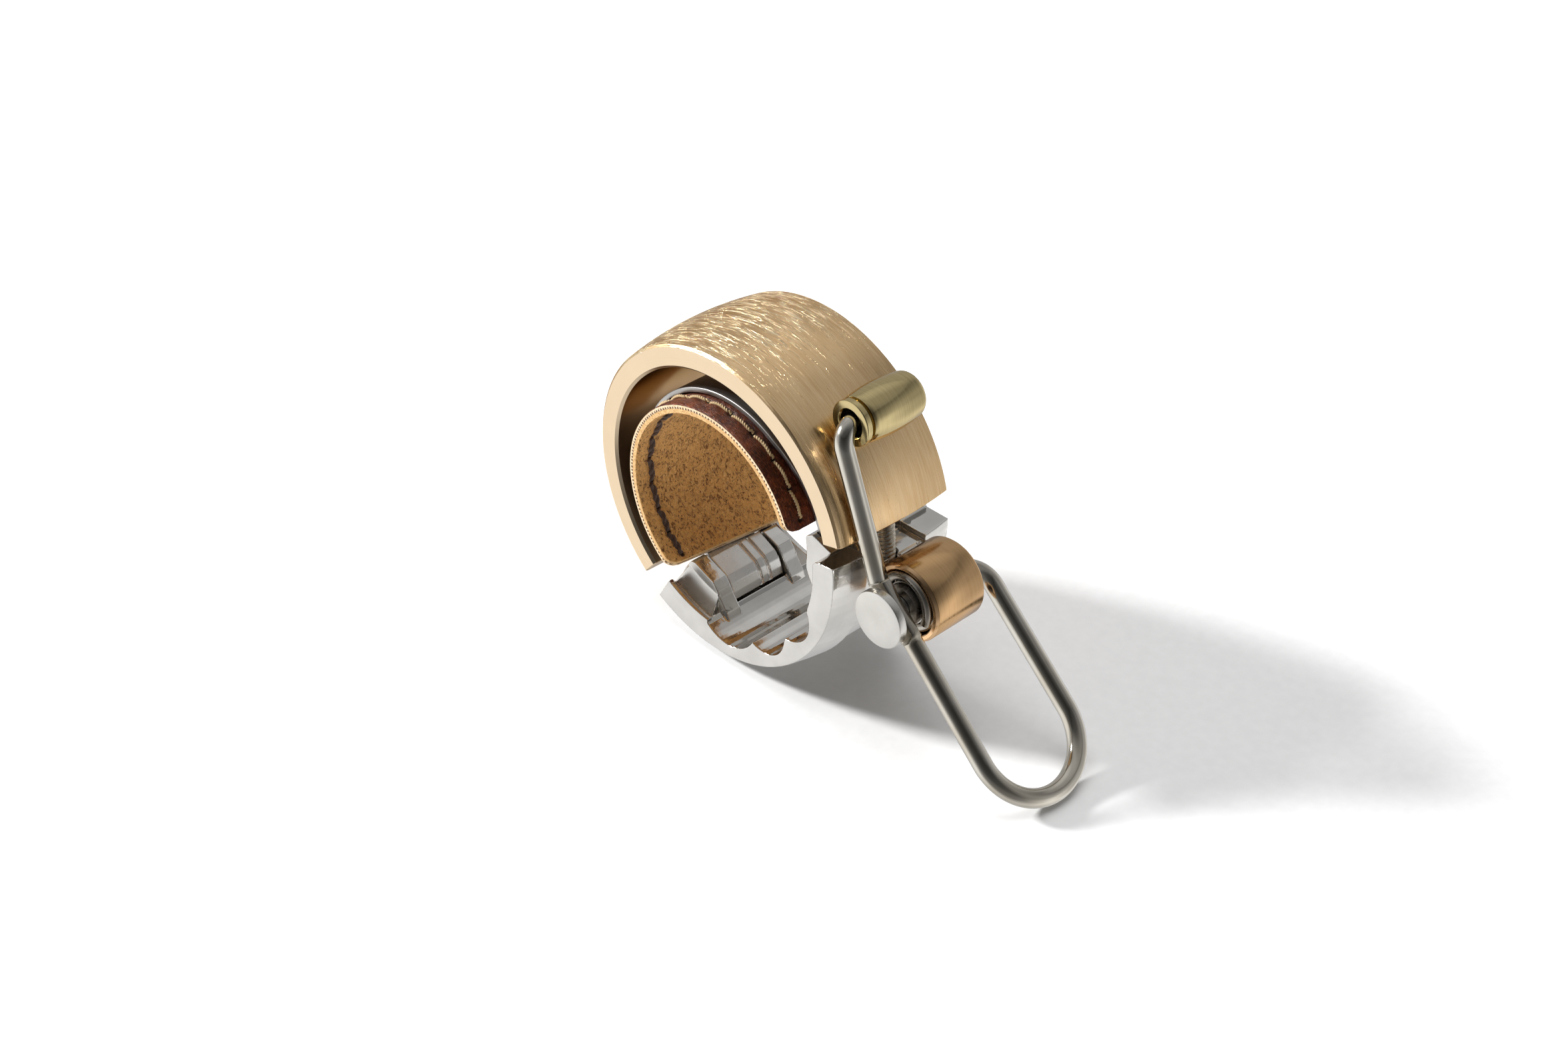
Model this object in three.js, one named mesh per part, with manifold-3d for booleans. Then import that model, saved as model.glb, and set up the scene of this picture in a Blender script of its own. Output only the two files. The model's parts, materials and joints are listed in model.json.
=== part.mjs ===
// Ring-shaped bicycle bell: an open brass chime wraps round the handlebar, a cast clamp bracket closes
// the circle below it, and a sprung wire lever swings a barrel hammer on to the chime.
// Origin on the handlebar's axis at the bell's mid width. +Y runs along the bar, +Z is up.
import * as THREE from 'three';
import { mergeVertices } from 'three/addons/utils/BufferGeometryUtils.js';
import Module from 'manifold-3d';

const wasm = await Module();
wasm.setup();

// ------------------------------------------------------------ driving dimensions, millimetres and degrees
// Angles run from +X towards +Z, in the plane across the bar.
const BAR_RADIUS = 11.1;
const ROUND_STEP = 4;

const BELL = { bore: 15.55, crown: 18.82, half: 7.5, from: 14, to: 229.7, edge: 0.25, boreEdge: 0.3 };
const CROWN = { radius: 41, y: 0.7 };
const STUD = { radius: 1.15, angle: 95, x: 16.2, z: 2.6, down: 4.6, up: 3.5, pitch: 0.48, depth: 0.22 };

const LINING = { inner: BAR_RADIUS, outer: 11.62, half: 8.6, from: 17, to: 244 };
const COVER = { inner: 11.68, outer: 12.2, half: 8.6, from: 17, to: 244 };
const END_CUT = { angle: 240.5, skew: 0.0817 };
const THREAD = { radius: 0.13, arc: 12.4, front: -6.65, rear: 7.3, from: 21, to: 233 };
const STRAP = { inner: 12.35, outer: 12.9, half: 5.9, from: -8, to: 235.5, tongueHalf: 3.2, tongueTo: 247 };
const STRAP_TAPER = { half: 5, from: 12, to: 58 };
const RIVET = { head: 1.6, headHeight: 0.45, shank: 0.8, hole: 1, length: 2.7 };

const RIM = { x: -0.3, z: 0.3, crown: 18.47, half: 8, from: -120.5, to: 7, blank: 21 };
const RIM_INNER = { arm: 15.75, land: 14.4, valley: 1.45, armEnd: -97, teeth: [-96, -67, -44, -20] };
const LIP = { inner: 14.25, face: 0.5, slope: 1.7, root: 16.6, to: -95 };
const BANK = { inner: 12.8, foot: 1.1, root: 16.2, to: -98.5 };
const FLANGE = { from: 3.75, to: 5.65, rearTip: -116.8 };
const BOSS = { inner: 11.3, half: 5.8, slotHalf: 5.15, slotInner: 12.2, slotOuter: 13.1, slotTo: -9.5 };
const RECESS = { radius: 17.9, half: 3.9, from: -60, to: 9 };
const SHELF = { x: 14.5, rear: 4.15, middleTop: -0.05, rearTop: 0.6 };

const BUCKLE = { outer: 15.45, half: 3.55, from: -117.6, to: -97.3, slotEnd: -111.5 };
const BUCKLE_FACE = [
  [11.95, -117.6], [11.95, -109.5], [12.1, -104.5], [12.7, -100.7], [13.5, -98.5], [14.3, -97.3],
];
const GROOVES = { y: [1.75, 0.5], half: 0.2, depth: 0.3 };
const CLAMP = {
  angle: -65, r: 13.9, at: -113.5, shank: 1.2, head: 2.1, headHeight: 1.5, top: 17.75, length: 5.2,
};
const WASHER = { inner: 1.4, outer: 2.2, thick: 0.35 };

const PIVOT = { x: 22.6, z: -1.3 };
const HUB = { outer: 2.3, bore: 1.85, half: 3.3 };
const WEB = { from: 0.75, to: 3.3, half: 1.2, rootX: 16.4 };
const SLEEVE = { outer: 4.25, bore: 3.55, half: 3.4, edge: 0.22, slotFrom: 0.4, slotHalf: 1.6 };
const SPRING = { mean: 2.93, wire: 0.5, from: -3.55, pitch: 1.15, turns: 3.05, start: -18 };
const BUSH = { outer: 1.78, from: 0.3 };
const PIN = { head: 3.05, front: -7.35, back: -6.35, collar: 1.5, neck: 0.75, journal: 1.25, tail: -0.35 };
const THRUST = { inner: 1.34, outer: 2.2, front: -4.2, back: -3.42 };
const REAR_WASHER = { inner: 1.12, outer: 2.9, front: 3.42, back: 3.8 };
const CLIP = { inner: 1.06, outer: 2.2, front: 3.88, back: 4.3, gap: 70 };
const RUNNING = 0.08;

const WIRE = { radius: 1, front: -5.3, rear: 7, stubEnd: 0.4, bend: 2, kinkBend: 1.5, rearBend: 3 };
const KINK = { x: 20.7, z: 1.3 };
const LOOP = { angle: -44.5, straight: 20.2 };
const PLATE = { thick: 1, half: 1.3, reach: 3.4, trim: 3.2, offset: 0.1, hole: 0.85 };
const HAMMER = { x: 15.1, z: 16, front: -3.9, length: 8.4, collar: 2.4, belly: 2.72, tail: 2.3, bore: 1.45 };
const HAMMER_BUSH = { inner: 1.08, outer: 1.38, from: -2.2, to: 2.8 };

// ------------------------------------------------------------ helpers
const radians = THREE.MathUtils.degToRad;
const polar = (r, degrees) => [r * Math.cos(radians(degrees)), r * Math.sin(radians(degrees))];

// A vector across the bar, at an angle.
function radial(r, degrees) {
  const [x, z] = polar(r, degrees);
  return new THREE.Vector3(x, 0, z);
}

// Evenly spaced values, both ends included.
function spread(from, to, count) {
  return Array.from({ length: count + 1 }, (_, i) => from + (to - from) * i / count);
}

function solid(geometry) {
  const bare = geometry.clone();
  bare.deleteAttribute('normal');
  bare.deleteAttribute('uv');
  const merged = mergeVertices(bare, 1e-4);
  const vertProperties = new Float32Array(merged.attributes.position.array);
  const triVerts = new Uint32Array(merged.index.array);
  return new wasm.Manifold(new wasm.Mesh({ numProp: 3, vertProperties, triVerts }));
}

function geometryOf(body) {
  const { vertProperties, triVerts } = body.getMesh();
  const geometry = new THREE.BufferGeometry();
  geometry.setAttribute('position', new THREE.BufferAttribute(vertProperties, 3));
  geometry.setIndex(new THREE.BufferAttribute(triVerts, 1));
  geometry.computeVertexNormals();
  return geometry;
}

// A flat outline of [x, z] points, carried along the bar from y0 to y1.
function plateAcross(outline, y0, y1) {
  const shape = new THREE.Shape(outline.map(([x, z]) => new THREE.Vector2(x, z)));
  const geometry = new THREE.ExtrudeGeometry(shape, { depth: y1 - y0, bevelEnabled: false });
  return geometry.rotateX(Math.PI / 2).translate(0, y1, 0);
}

// A closed outline of [r, y] points, turned about the Y axis from one angle to another, with flat ends.
function sector(outline, from, to) {
  const points = outline.map(([r, y]) => new THREE.Vector2(r, y));
  if (THREE.ShapeUtils.isClockWise(points)) points.reverse();
  const steps = Math.max(2, Math.ceil((to - from) / ROUND_STEP));
  const count = points.length;
  const positions = spread(from, to, steps).flatMap((angle) => points.flatMap(({ x: r, y }) => {
    const [x, z] = polar(r, angle);
    return [x, y, z];
  }));
  const faces = [];
  for (let i = 0; i < steps; i++) {
    for (let j = 0; j < count; j++) {
      const a = i * count + j;
      const b = i * count + (j + 1) % count;
      faces.push(a, b, b + count, a, b + count, a + count);
    }
  }
  for (const [a, b, c] of THREE.ShapeUtils.triangulateShape(points, [])) {
    const end = steps * count;
    faces.push(a, c, b, end + a, end + b, end + c);
  }
  const geometry = new THREE.BufferGeometry();
  geometry.setAttribute('position', new THREE.Float32BufferAttribute(positions, 3));
  geometry.setIndex(faces);
  geometry.computeVertexNormals();
  return geometry;
}

// A full turn of [r, y] points about the Y axis.
function turned(outline, segments = 40) {
  return new THREE.LatheGeometry(outline.map(([r, y]) => new THREE.Vector2(r, y)), segments);
}

// A round tube or disc wall between two y planes.
function ringWall(inner, outer, y0, y1, segments = 28) {
  return turned([[inner, y0], [outer, y0], [outer, y1], [inner, y1], [inner, y0]], segments);
}

// The turn that lays +Y along a direction.
function turnTo(direction) {
  return new THREE.Quaternion().setFromUnitVectors(new THREE.Vector3(0, 1, 0), direction);
}

// A round rod from one point to another.
function rod(radius, start, end, segments = 24) {
  const along = new THREE.Vector3().subVectors(end, start);
  const geometry = new THREE.CylinderGeometry(radius, radius, along.length(), segments);
  const turn = turnTo(along.clone().normalize());
  const middle = new THREE.Vector3().addVectors(start, end).multiplyScalar(0.5);
  return geometry.applyQuaternion(turn).translate(middle.x, middle.y, middle.z);
}

function block(x0, x1, y0, y1, z0, z1) {
  const geometry = new THREE.BoxGeometry(x1 - x0, y1 - y0, z1 - z0);
  return geometry.translate((x0 + x1) / 2, (y0 + y1) / 2, (z0 + z1) / 2);
}

function roundSection(radius, sides) {
  const angles = spread(0, 360, sides).slice(0, -1);
  return new THREE.Shape(angles.map((angle) => new THREE.Vector2(...polar(radius, angle))));
}

function tube(curve, radius, sides, steps) {
  const path = { steps, extrudePath: curve, curveSegments: sides };
  return new THREE.ExtrudeGeometry(roundSection(radius, sides), path);
}

// Straight runs between corner points, each inner corner rounded by its own radius.
function bentPath(corners, radii) {
  const path = new THREE.CurvePath();
  let start = corners[0];
  for (let i = 1; i < corners.length - 1; i++) {
    const back = new THREE.Vector3().subVectors(corners[i - 1], corners[i]).normalize();
    const ahead = new THREE.Vector3().subVectors(corners[i + 1], corners[i]).normalize();
    const reach = radii[i - 1] / Math.tan(back.angleTo(ahead) / 2);
    const enter = corners[i].clone().addScaledVector(back, reach);
    const leave = corners[i].clone().addScaledVector(ahead, reach);
    path.add(new THREE.LineCurve3(start, enter));
    path.add(new THREE.QuadraticBezierCurve3(enter, corners[i], leave));
    start = leave;
  }
  path.add(new THREE.LineCurve3(start, corners[corners.length - 1]));
  return path;
}

// Half a circle from one straight leg to the other, bulging along a direction.
class HalfTurn extends THREE.Curve {
  constructor(centre, side, bulge, radius) {
    super();
    Object.assign(this, { centre, side, bulge, radius });
  }

  getPoint(t, target = new THREE.Vector3()) {
    const angle = Math.PI * t;
    return target.copy(this.centre)
      .addScaledVector(this.side, -this.radius * Math.cos(angle))
      .addScaledVector(this.bulge, this.radius * Math.sin(angle));
  }
}

class Helix extends THREE.Curve {
  constructor(mean, from, pitch, turns, start) {
    super();
    Object.assign(this, { mean, from, pitch, turns, start });
  }

  getPoint(t, target = new THREE.Vector3()) {
    const [x, z] = polar(this.mean, this.start + 360 * this.turns * t);
    return target.set(x, this.from + this.pitch * this.turns * t, z);
  }
}

const METALS = {
  champagne: [0xc9a877, 0.32, 1],
  copperGold: [0xc08a4e, 0.28, 1],
  oliveGold: [0xa58a4d, 0.3, 1],
  wire: [0x8d8880, 0.25, 1],
  cast: [0xc9c6c1, 0.38, 1],
  steel: [0xa9abad, 0.35, 1],
};

function mesh(name, geometry, [color, roughness, metalness]) {
  const material = new THREE.MeshStandardMaterial({ color, roughness, metalness });
  const piece = new THREE.Mesh(geometry, material);
  piece.name = name;
  return piece;
}

// Radius of a crowned outer face at a distance along the bar.
function crownRadius(apex, y) {
  return apex - CROWN.radius + Math.sqrt(CROWN.radius ** 2 - (y - CROWN.y) ** 2);
}

// ------------------------------------------------------------ chime and its stud
const studAxis = radial(1, STUD.angle);
const studMiddle = new THREE.Vector3(STUD.x, 0, STUD.z);
const alongStud = (distance) => studMiddle.clone().addScaledVector(studAxis, distance);

function bellRing() {
  const { bore, crown, half, edge, boreEdge } = BELL;
  const faceR = crownRadius(crown, -half);
  const rearR = crownRadius(crown, half);
  const outer = spread(-half + edge, half - edge, 8).map((y) => [crownRadius(crown, y), y]);
  const outline = [
    [bore + boreEdge, -half], [faceR - edge, -half], ...outer, [rearR - edge, half],
    [bore + boreEdge, half], [bore, half - boreEdge], [bore, -half + boreEdge],
  ];
  const hole = rod(STUD.radius + 0.1, alongStud(0), alongStud(STUD.up + 0.3));
  return geometryOf(solid(sector(outline, BELL.from, BELL.to)).subtract(solid(hole)));
}

function bellStud() {
  const { radius, depth, pitch, down, up } = STUD;
  const rings = Math.floor((down + up) / pitch);
  const outline = [[0, 0]];
  for (let i = 0; i < rings; i++) {
    outline.push([radius - depth, i * pitch], [radius, (i + 0.5) * pitch]);
  }
  outline.push([radius - depth, rings * pitch], [0, rings * pitch]);
  const geometry = turned(outline, 14);
  geometry.applyQuaternion(turnTo(studAxis));
  const foot = alongStud(-down);
  return geometry.translate(foot.x, foot.y, foot.z);
}

// ------------------------------------------------------------ leather sleeve and clamp strap
function band({ inner, outer, half, from, to }) {
  return sector([[inner, -half], [outer, -half], [outer, half], [inner, half]], from, to);
}

// The leather's left end is cut slightly on the skew.
function leather(layer) {
  const past = block(layer.inner - 1, layer.outer + 1, -layer.half - 2, layer.half + 2, 0, 4);
  past.rotateX(Math.atan(END_CUT.skew)).rotateY(-radians(END_CUT.angle));
  return geometryOf(solid(band(layer)).subtract(solid(past)));
}

function stitchLine(y) {
  const points = spread(THREAD.from, THREAD.to, 36).map((angle) => radial(THREAD.arc, angle).setY(y));
  return tube(new THREE.CatmullRomCurve3(points), THREAD.radius, 5, 42);
}

// The strap narrows towards its riveted end, which sits in the boss.
function strap() {
  const wide = band(STRAP);
  const position = wide.attributes.position;
  for (let i = 0; i < position.count; i++) {
    const turn = Math.atan2(position.getZ(i), position.getX(i)) / radians(1);
    const angle = turn < -90 ? turn + 360 : turn;
    const taper = THREE.MathUtils.inverseLerp(STRAP_TAPER.from, STRAP_TAPER.to, angle);
    const half = THREE.MathUtils.lerp(STRAP_TAPER.half, STRAP.half, THREE.MathUtils.clamp(taper, 0, 1));
    position.setY(i, position.getY(i) * half / STRAP.half);
  }
  const tongue = { ...STRAP, half: STRAP.tongueHalf, from: STRAP.to - ROUND_STEP, to: STRAP.tongueTo };
  const middle = (STRAP.inner + STRAP.outer) / 2;
  const hole = rod(RIVET.hole, new THREE.Vector3(middle - 1, 0, 0), new THREE.Vector3(middle + 1, 0, 0), 16);
  return geometryOf(solid(wide).add(solid(band(tongue))).subtract(solid(hole)));
}

function strapRivet() {
  const { head, headHeight, shank, length } = RIVET;
  const outline = [[0, 0], [head - 0.15, 0], [head, 0.15], [head, headHeight], [shank, headHeight]];
  outline.push([shank, length], [0, length]);
  return turned(outline, 20).rotateZ(-Math.PI / 2).translate(BOSS.inner + 0.05, 0, 0);
}

// ------------------------------------------------------------ clamp bracket
// The inner edge is a land with rounded valleys between its ridges.
function rimInnerRadius(angle) {
  const teeth = RIM_INNER.teeth;
  const i = teeth.findIndex((tooth, k) => angle >= tooth && angle <= teeth[k + 1]);
  if (i < 0) return RIM_INNER.land;
  const across = (angle - teeth[i]) / (teeth[i + 1] - teeth[i]);
  return RIM_INNER.land + RIM_INNER.valley * Math.sin(Math.PI * across) ** 0.8;
}

function shell() {
  const { armEnd, arm } = RIM_INNER;
  const armEdge = spread(RIM.from, armEnd, 6).map((angle) => polar(arm, angle));
  const landEdge = spread(armEnd + 1, RIM.to - 2, 52).map((angle) => polar(rimInnerRadius(angle), angle));
  const corner = [polar(RIM_INNER.land + 0.35, RIM.to - 0.6), polar(RIM_INNER.land + 0.9, RIM.to)];
  const outer = spread(RIM.to, RIM.from, 30).map((angle) => polar(RIM.blank, angle));
  return solid(plateAcross([...armEdge, ...landEdge, ...corner, ...outer], -RIM.half, RIM.half));
}

function crownedBlank() {
  const outer = spread(-RIM.half, RIM.half, 8).map((y) => [crownRadius(RIM.crown, y), y]);
  const geometry = turned([[0, -RIM.half], ...outer, [0, RIM.half]], Math.round(360 / ROUND_STEP));
  return solid(geometry.translate(RIM.x, 0, RIM.z));
}

// Lip along one edge of the left arm, with the scoop's slope behind it.
function lip(side) {
  const { inner, face, slope, root } = LIP;
  const edge = RIM.half;
  const outline = [[inner, edge], [inner, edge - face], [root, edge - face - slope], [root, edge]];
  return solid(sector(outline.map(([r, y]) => [r, side * y]), RIM.from, LIP.to));
}

// Bank that fills the corner between a blade's outer side and the scoop.
function bank(side) {
  const { inner, foot, root, to } = BANK;
  const start = FLANGE.to - 0.1;
  const outline = [[inner, start], [inner, start + 0.15], [root, start + foot], [root, start]];
  return solid(sector(outline.map(([r, y]) => [r, side * y]), RIM.from, to));
}

// Blade on each side of the buckle, standing inwards from the left arm.
function flange(side) {
  const tip = side < 0
    ? [polar(13.8, -121.6), polar(12.2, -121.2), polar(11.75, -119)]
    : [polar(12.35, -120.5), polar(12.35, FLANGE.rearTip), polar(11.8, FLANGE.rearTip + 0.5)];
  const outline = [
    polar(16.4, -120.5), ...tip, polar(11.65, -110), polar(11.7, -104.2), polar(12.4, -100.3),
    polar(13.1, -97.8), polar(14.4, -93), polar(16.3, -90),
  ];
  const [y0, y1] = [side * FLANGE.from, side * FLANGE.to].sort((a, b) => a - b);
  return solid(plateAcross(outline, y0, y1));
}

// Block at the right that anchors the strap and ends in a peak beside it.
function boss() {
  const foot = [
    polar(15.2, -27), polar(14, -22), polar(12.9, -17.6), polar(12.3, -15.2), polar(11.75, -12.5),
  ];
  const inner = [polar(11.4, -9.5), ...spread(-6.5, 9, 5).map((angle) => polar(BOSS.inner, angle))];
  const top = [polar(11.5, 10.4), polar(12.35, 11.8), polar(13, 10.3), polar(14, 7.9), polar(15.4, 5.6)];
  const outline = [...foot, ...inner, ...top, polar(16, 0)];
  return solid(plateAcross(outline, -BOSS.half, BOSS.half));
}

const clampAxis = radial(1, CLAMP.angle);
const clampMiddle = radial(CLAMP.r, CLAMP.at);
const clampTop = clampMiddle.clone().addScaledVector(clampAxis, clampDepth(CLAMP.top));
const alongClamp = (distance) => clampTop.clone().addScaledVector(clampAxis, -distance);

// Distance along the clamp screw from its middle to a given radius.
function clampDepth(radius) {
  const lean = clampMiddle.dot(clampAxis);
  return Math.sqrt(lean ** 2 + radius ** 2 - clampMiddle.lengthSq()) - lean;
}

function bracket() {
  const pivot = (geometry) => solid(geometry.translate(PIVOT.x, 0, PIVOT.z));
  const recess = band({ ...RECESS, inner: RECESS.radius, outer: RIM.blank }).translate(RIM.x, 0, RIM.z);
  const web = block(WEB.rootX, PIVOT.x, WEB.from, WEB.to, PIVOT.z - WEB.half, PIVOT.z + WEB.half);
  const strapSlot = band({
    inner: BOSS.slotInner, outer: BOSS.slotOuter, half: BOSS.slotHalf, from: BOSS.slotTo, to: 16,
  });
  const { x: shelfX, rear: shelfRear, middleTop, rearTop } = SHELF;
  const { headHeight, head, shank } = CLAMP;
  const seat = headHeight + WASHER.thick + 0.1;
  return geometryOf(
    shell().intersect(crownedBlank())
      .add(lip(-1)).add(lip(1)).add(bank(-1)).add(bank(1)).add(flange(-1)).add(flange(1)).add(boss())
      .subtract(solid(recess))
      .subtract(solid(block(shelfX, RIM.blank, -RECESS.half, shelfRear, middleTop, 6)))
      .subtract(solid(block(shelfX, RIM.blank, shelfRear - 0.1, RIM.half + 1, rearTop, 6)))
      .add(solid(web)).add(pivot(rodY(HUB.outer, HUB.half)))
      .subtract(pivot(rodY(HUB.bore, HUB.half + 1)))
      .subtract(solid(strapSlot))
      .subtract(solid(rodX(RIVET.head + 0.1, BOSS.inner - 1, BOSS.inner + RIVET.headHeight + 0.1)))
      .subtract(solid(rodX(RIVET.shank + 0.1, BOSS.inner - 1, BOSS.inner + RIVET.length + 0.2)))
      .subtract(solid(rod(STUD.radius + 0.1, alongStud(-STUD.down - 0.1), alongStud(0))))
      .subtract(solid(rod(head + 0.25, alongClamp(seat), alongClamp(-3))))
      .subtract(solid(rod(shank + 0.15, alongClamp(CLAMP.length), alongClamp(0)))),
  );
}

function rodX(radius, x0, x1) {
  return rod(radius, new THREE.Vector3(x0, 0, 0), new THREE.Vector3(x1, 0, 0), 20);
}

function rodY(radius, half) {
  return rod(radius, new THREE.Vector3(0, -half, 0), new THREE.Vector3(0, half, 0), 32);
}

// ------------------------------------------------------------ buckle and clamp screw
function strapBuckle() {
  const { outer, half, from, to, slotEnd } = BUCKLE;
  const face = (depth) => BUCKLE_FACE.map(([r, angle]) => polar(r + depth, angle));
  const back = spread(to, from, 6).map((angle) => polar(outer, angle));
  const slot = band({
    inner: STRAP.inner - RUNNING, outer: STRAP.outer + RUNNING, half: half + 1, from: from - 3, to: slotEnd,
  });
  const thread = rod(CLAMP.shank + 0.1, alongClamp(0), alongClamp(CLAMP.length + 0.2));
  const headRoom = rod(CLAMP.head + 0.25, alongClamp(CLAMP.headHeight + WASHER.thick + 0.1), alongClamp(-3));
  const grooves = GROOVES.y.map((y) => {
    const outline = [...face(GROOVES.depth), ...face(-1).reverse()];
    return solid(plateAcross(outline, y - GROOVES.half, y + GROOVES.half));
  });
  return geometryOf(
    solid(plateAcross([...face(0), ...back], -half, half))
      .subtract(solid(slot)).subtract(solid(thread)).subtract(solid(headRoom))
      .subtract(grooves[0]).subtract(grooves[1]),
  );
}

function clampScrew() {
  const { shank, head, headHeight, length } = CLAMP;
  const geometry = turned([
    [0, 0.8], [0.72, 0.8], [0.72, 0], [head - 0.3, 0], [head, 0.35], [head, headHeight],
    [shank, headHeight], [shank, length], [0, length],
  ], 24);
  const turn = turnTo(clampAxis.clone().negate());
  return geometry.applyQuaternion(turn).translate(clampTop.x, clampTop.y, clampTop.z);
}

function clampWasher() {
  const geometry = ringWall(WASHER.inner, WASHER.outer, 0, WASHER.thick, 24);
  const turn = turnTo(clampAxis.clone().negate());
  const seat = alongClamp(CLAMP.headHeight + 0.05);
  return geometry.applyQuaternion(turn).translate(seat.x, seat.y, seat.z);
}

// ------------------------------------------------------------ pivot, about its own axis
function springSleeve() {
  const { outer, bore, half, edge, slotFrom, slotHalf } = SLEEVE;
  const outline = [
    [bore + edge / 2, -half], [outer - edge, -half], [outer, -half + edge], [outer, half - edge],
    [outer - edge, half], [bore + edge / 2, half], [bore, half - edge / 2], [bore, -half + edge / 2],
    [bore + edge / 2, -half],
  ];
  const slot = block(-outer - 1, 0, slotFrom, half + 1, -slotHalf, slotHalf);
  return geometryOf(solid(turned(outline, 48)).subtract(solid(slot)));
}

function returnSpring() {
  const { mean, wire, from, pitch, turns, start } = SPRING;
  return tube(new Helix(mean, from, pitch, turns, start), wire, 6, Math.round(turns * 18));
}

function pivotPin() {
  const { head, front, back, collar, neck, journal, tail } = PIN;
  const plateFront = WIRE.front - PLATE.thick / 2 - 0.1;
  const plateBack = WIRE.front + PLATE.thick / 2 + 0.1;
  return turned([
    [0, front], [head - 0.12, front], [head, front + 0.12], [head, back - 0.12], [head - 0.12, back],
    [collar, back], [collar, plateFront], [neck, plateFront], [neck, plateBack], [journal, plateBack],
    [journal, tail], [0, tail],
  ], 40);
}

function bush(journal, y0, y1) {
  return ringWall(journal + RUNNING, BUSH.outer, y0, y1);
}

function washer({ inner, outer, front, back }) {
  return ringWall(inner, outer, front, back);
}

function retainingClip() {
  const { inner, outer, front, back, gap } = CLIP;
  return sector([[inner, front], [outer, front], [outer, back], [inner, back]], 90 + gap / 2, 450 - gap / 2);
}

// ------------------------------------------------------------ lever wire and hammer
const loopAlong = radial(1, LOOP.angle);

function leverWire() {
  const loopRadius = (WIRE.rear - WIRE.front) / 2;
  const kink = new THREE.Vector3(KINK.x, WIRE.front, KINK.z);
  const legEnd = kink.clone().addScaledVector(loopAlong, LOOP.straight);
  const across = new THREE.Vector3(0, 1, 0);
  const rearStart = legEnd.clone().addScaledVector(across, 2 * loopRadius);
  const path = bentPath([
    new THREE.Vector3(HAMMER.x, HAMMER_BUSH.to - 0.2, HAMMER.z),
    new THREE.Vector3(HAMMER.x, WIRE.front, HAMMER.z), kink, legEnd,
  ], [WIRE.bend, WIRE.kinkBend]);
  const turn = legEnd.clone().addScaledVector(across, loopRadius);
  path.add(new HalfTurn(turn, across, loopAlong, loopRadius));
  const rear = bentPath([
    rearStart,
    new THREE.Vector3(PIVOT.x, WIRE.rear, PIVOT.z),
    new THREE.Vector3(PIVOT.x, WIRE.stubEnd, PIVOT.z),
  ], [WIRE.rearBend]);
  rear.curves.forEach((curve) => path.add(curve));
  return geometryOf(pressedFlat(solid(tube(path, WIRE.radius, 10, 104))));
}

// The wire is pressed to a flat, widened plate where the pivot pin passes through it.
function pressedFlat(wire) {
  const { thick, half, reach, trim, offset, hole } = PLATE;
  const shape = new THREE.Shape();
  shape.absarc(-reach + half, 0, half, Math.PI / 2, Math.PI * 1.5);
  shape.absarc(reach - half, 0, half, -Math.PI / 2, Math.PI / 2);
  const place = (geometry) => geometry.rotateX(Math.PI / 2).rotateY(-radians(LOOP.angle))
    .translate(PIVOT.x, 0, PIVOT.z);
  const plate = new THREE.ExtrudeGeometry(shape, { depth: thick, bevelEnabled: false, curveSegments: 8 });
  plate.translate(0, offset, -thick / 2 - WIRE.front);
  const trims = [-1, 1].map((side) => {
    const cut = new THREE.BoxGeometry(2 * trim, 2 * half + 1, 1);
    return solid(place(cut.translate(0, 0, side * (thick / 2 + 0.5) - WIRE.front)));
  });
  const pinHole = ringWall(0, hole, WIRE.front - thick, WIRE.front + thick, 20);
  pinHole.translate(PIVOT.x, 0, PIVOT.z);
  return wire.subtract(trims[0]).subtract(trims[1]).add(solid(place(plate))).subtract(solid(pinHole));
}

function hammerBush() {
  const { inner, outer, from, to } = HAMMER_BUSH;
  return ringWall(inner, outer, from, to);
}

function hammer() {
  const { front, length, collar, belly, tail, bore } = HAMMER;
  const back = front + length;
  const wall = spread(0.14, 0.86, 8).map((t) => {
    const swell = Math.sin(Math.PI * t) * (t < 0.5 ? belly - collar : belly - tail);
    return [(t < 0.5 ? collar : tail) + swell, front + t * length];
  });
  return turned([
    [bore, front], [collar - 0.3, front], [collar, front + 0.3], [collar, front + 0.75],
    [collar - 0.18, front + 0.85], [collar - 0.18, front + 1.05], ...wall,
    [tail + 0.1, back - 0.7], [tail - 0.35, back - 0.15], [tail - 0.9, back], [0, back],
    [0, HAMMER_BUSH.to + 0.3], [bore, HAMMER_BUSH.to + 0.3], [bore, front],
  ], 28);
}

// ------------------------------------------------------------ assembly
const bell = new THREE.Group();
bell.add(
  mesh('bell_ring', bellRing(), METALS.champagne),
  mesh('bell_stud', bellStud(), METALS.steel),
  mesh('leather_lining', leather(LINING), [0xb8813f, 0.9, 0]),
  mesh('leather_cover', leather(COVER), [0x53200f, 0.6, 0]),
  mesh('thread_front', stitchLine(THREAD.front), [0xb8a070, 0.7, 0]),
  mesh('thread_rear', stitchLine(THREAD.rear), [0xb8a070, 0.7, 0]),
  mesh('strap', strap(), METALS.steel),
  mesh('strap_rivet', strapRivet(), METALS.steel),
  mesh('bracket', bracket(), METALS.cast),
  mesh('strap_buckle', strapBuckle(), METALS.cast),
  mesh('clamp_screw', clampScrew(), METALS.steel),
  mesh('clamp_washer', clampWasher(), METALS.steel),
  mesh('lever_wire', leverWire(), METALS.wire),
);

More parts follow.
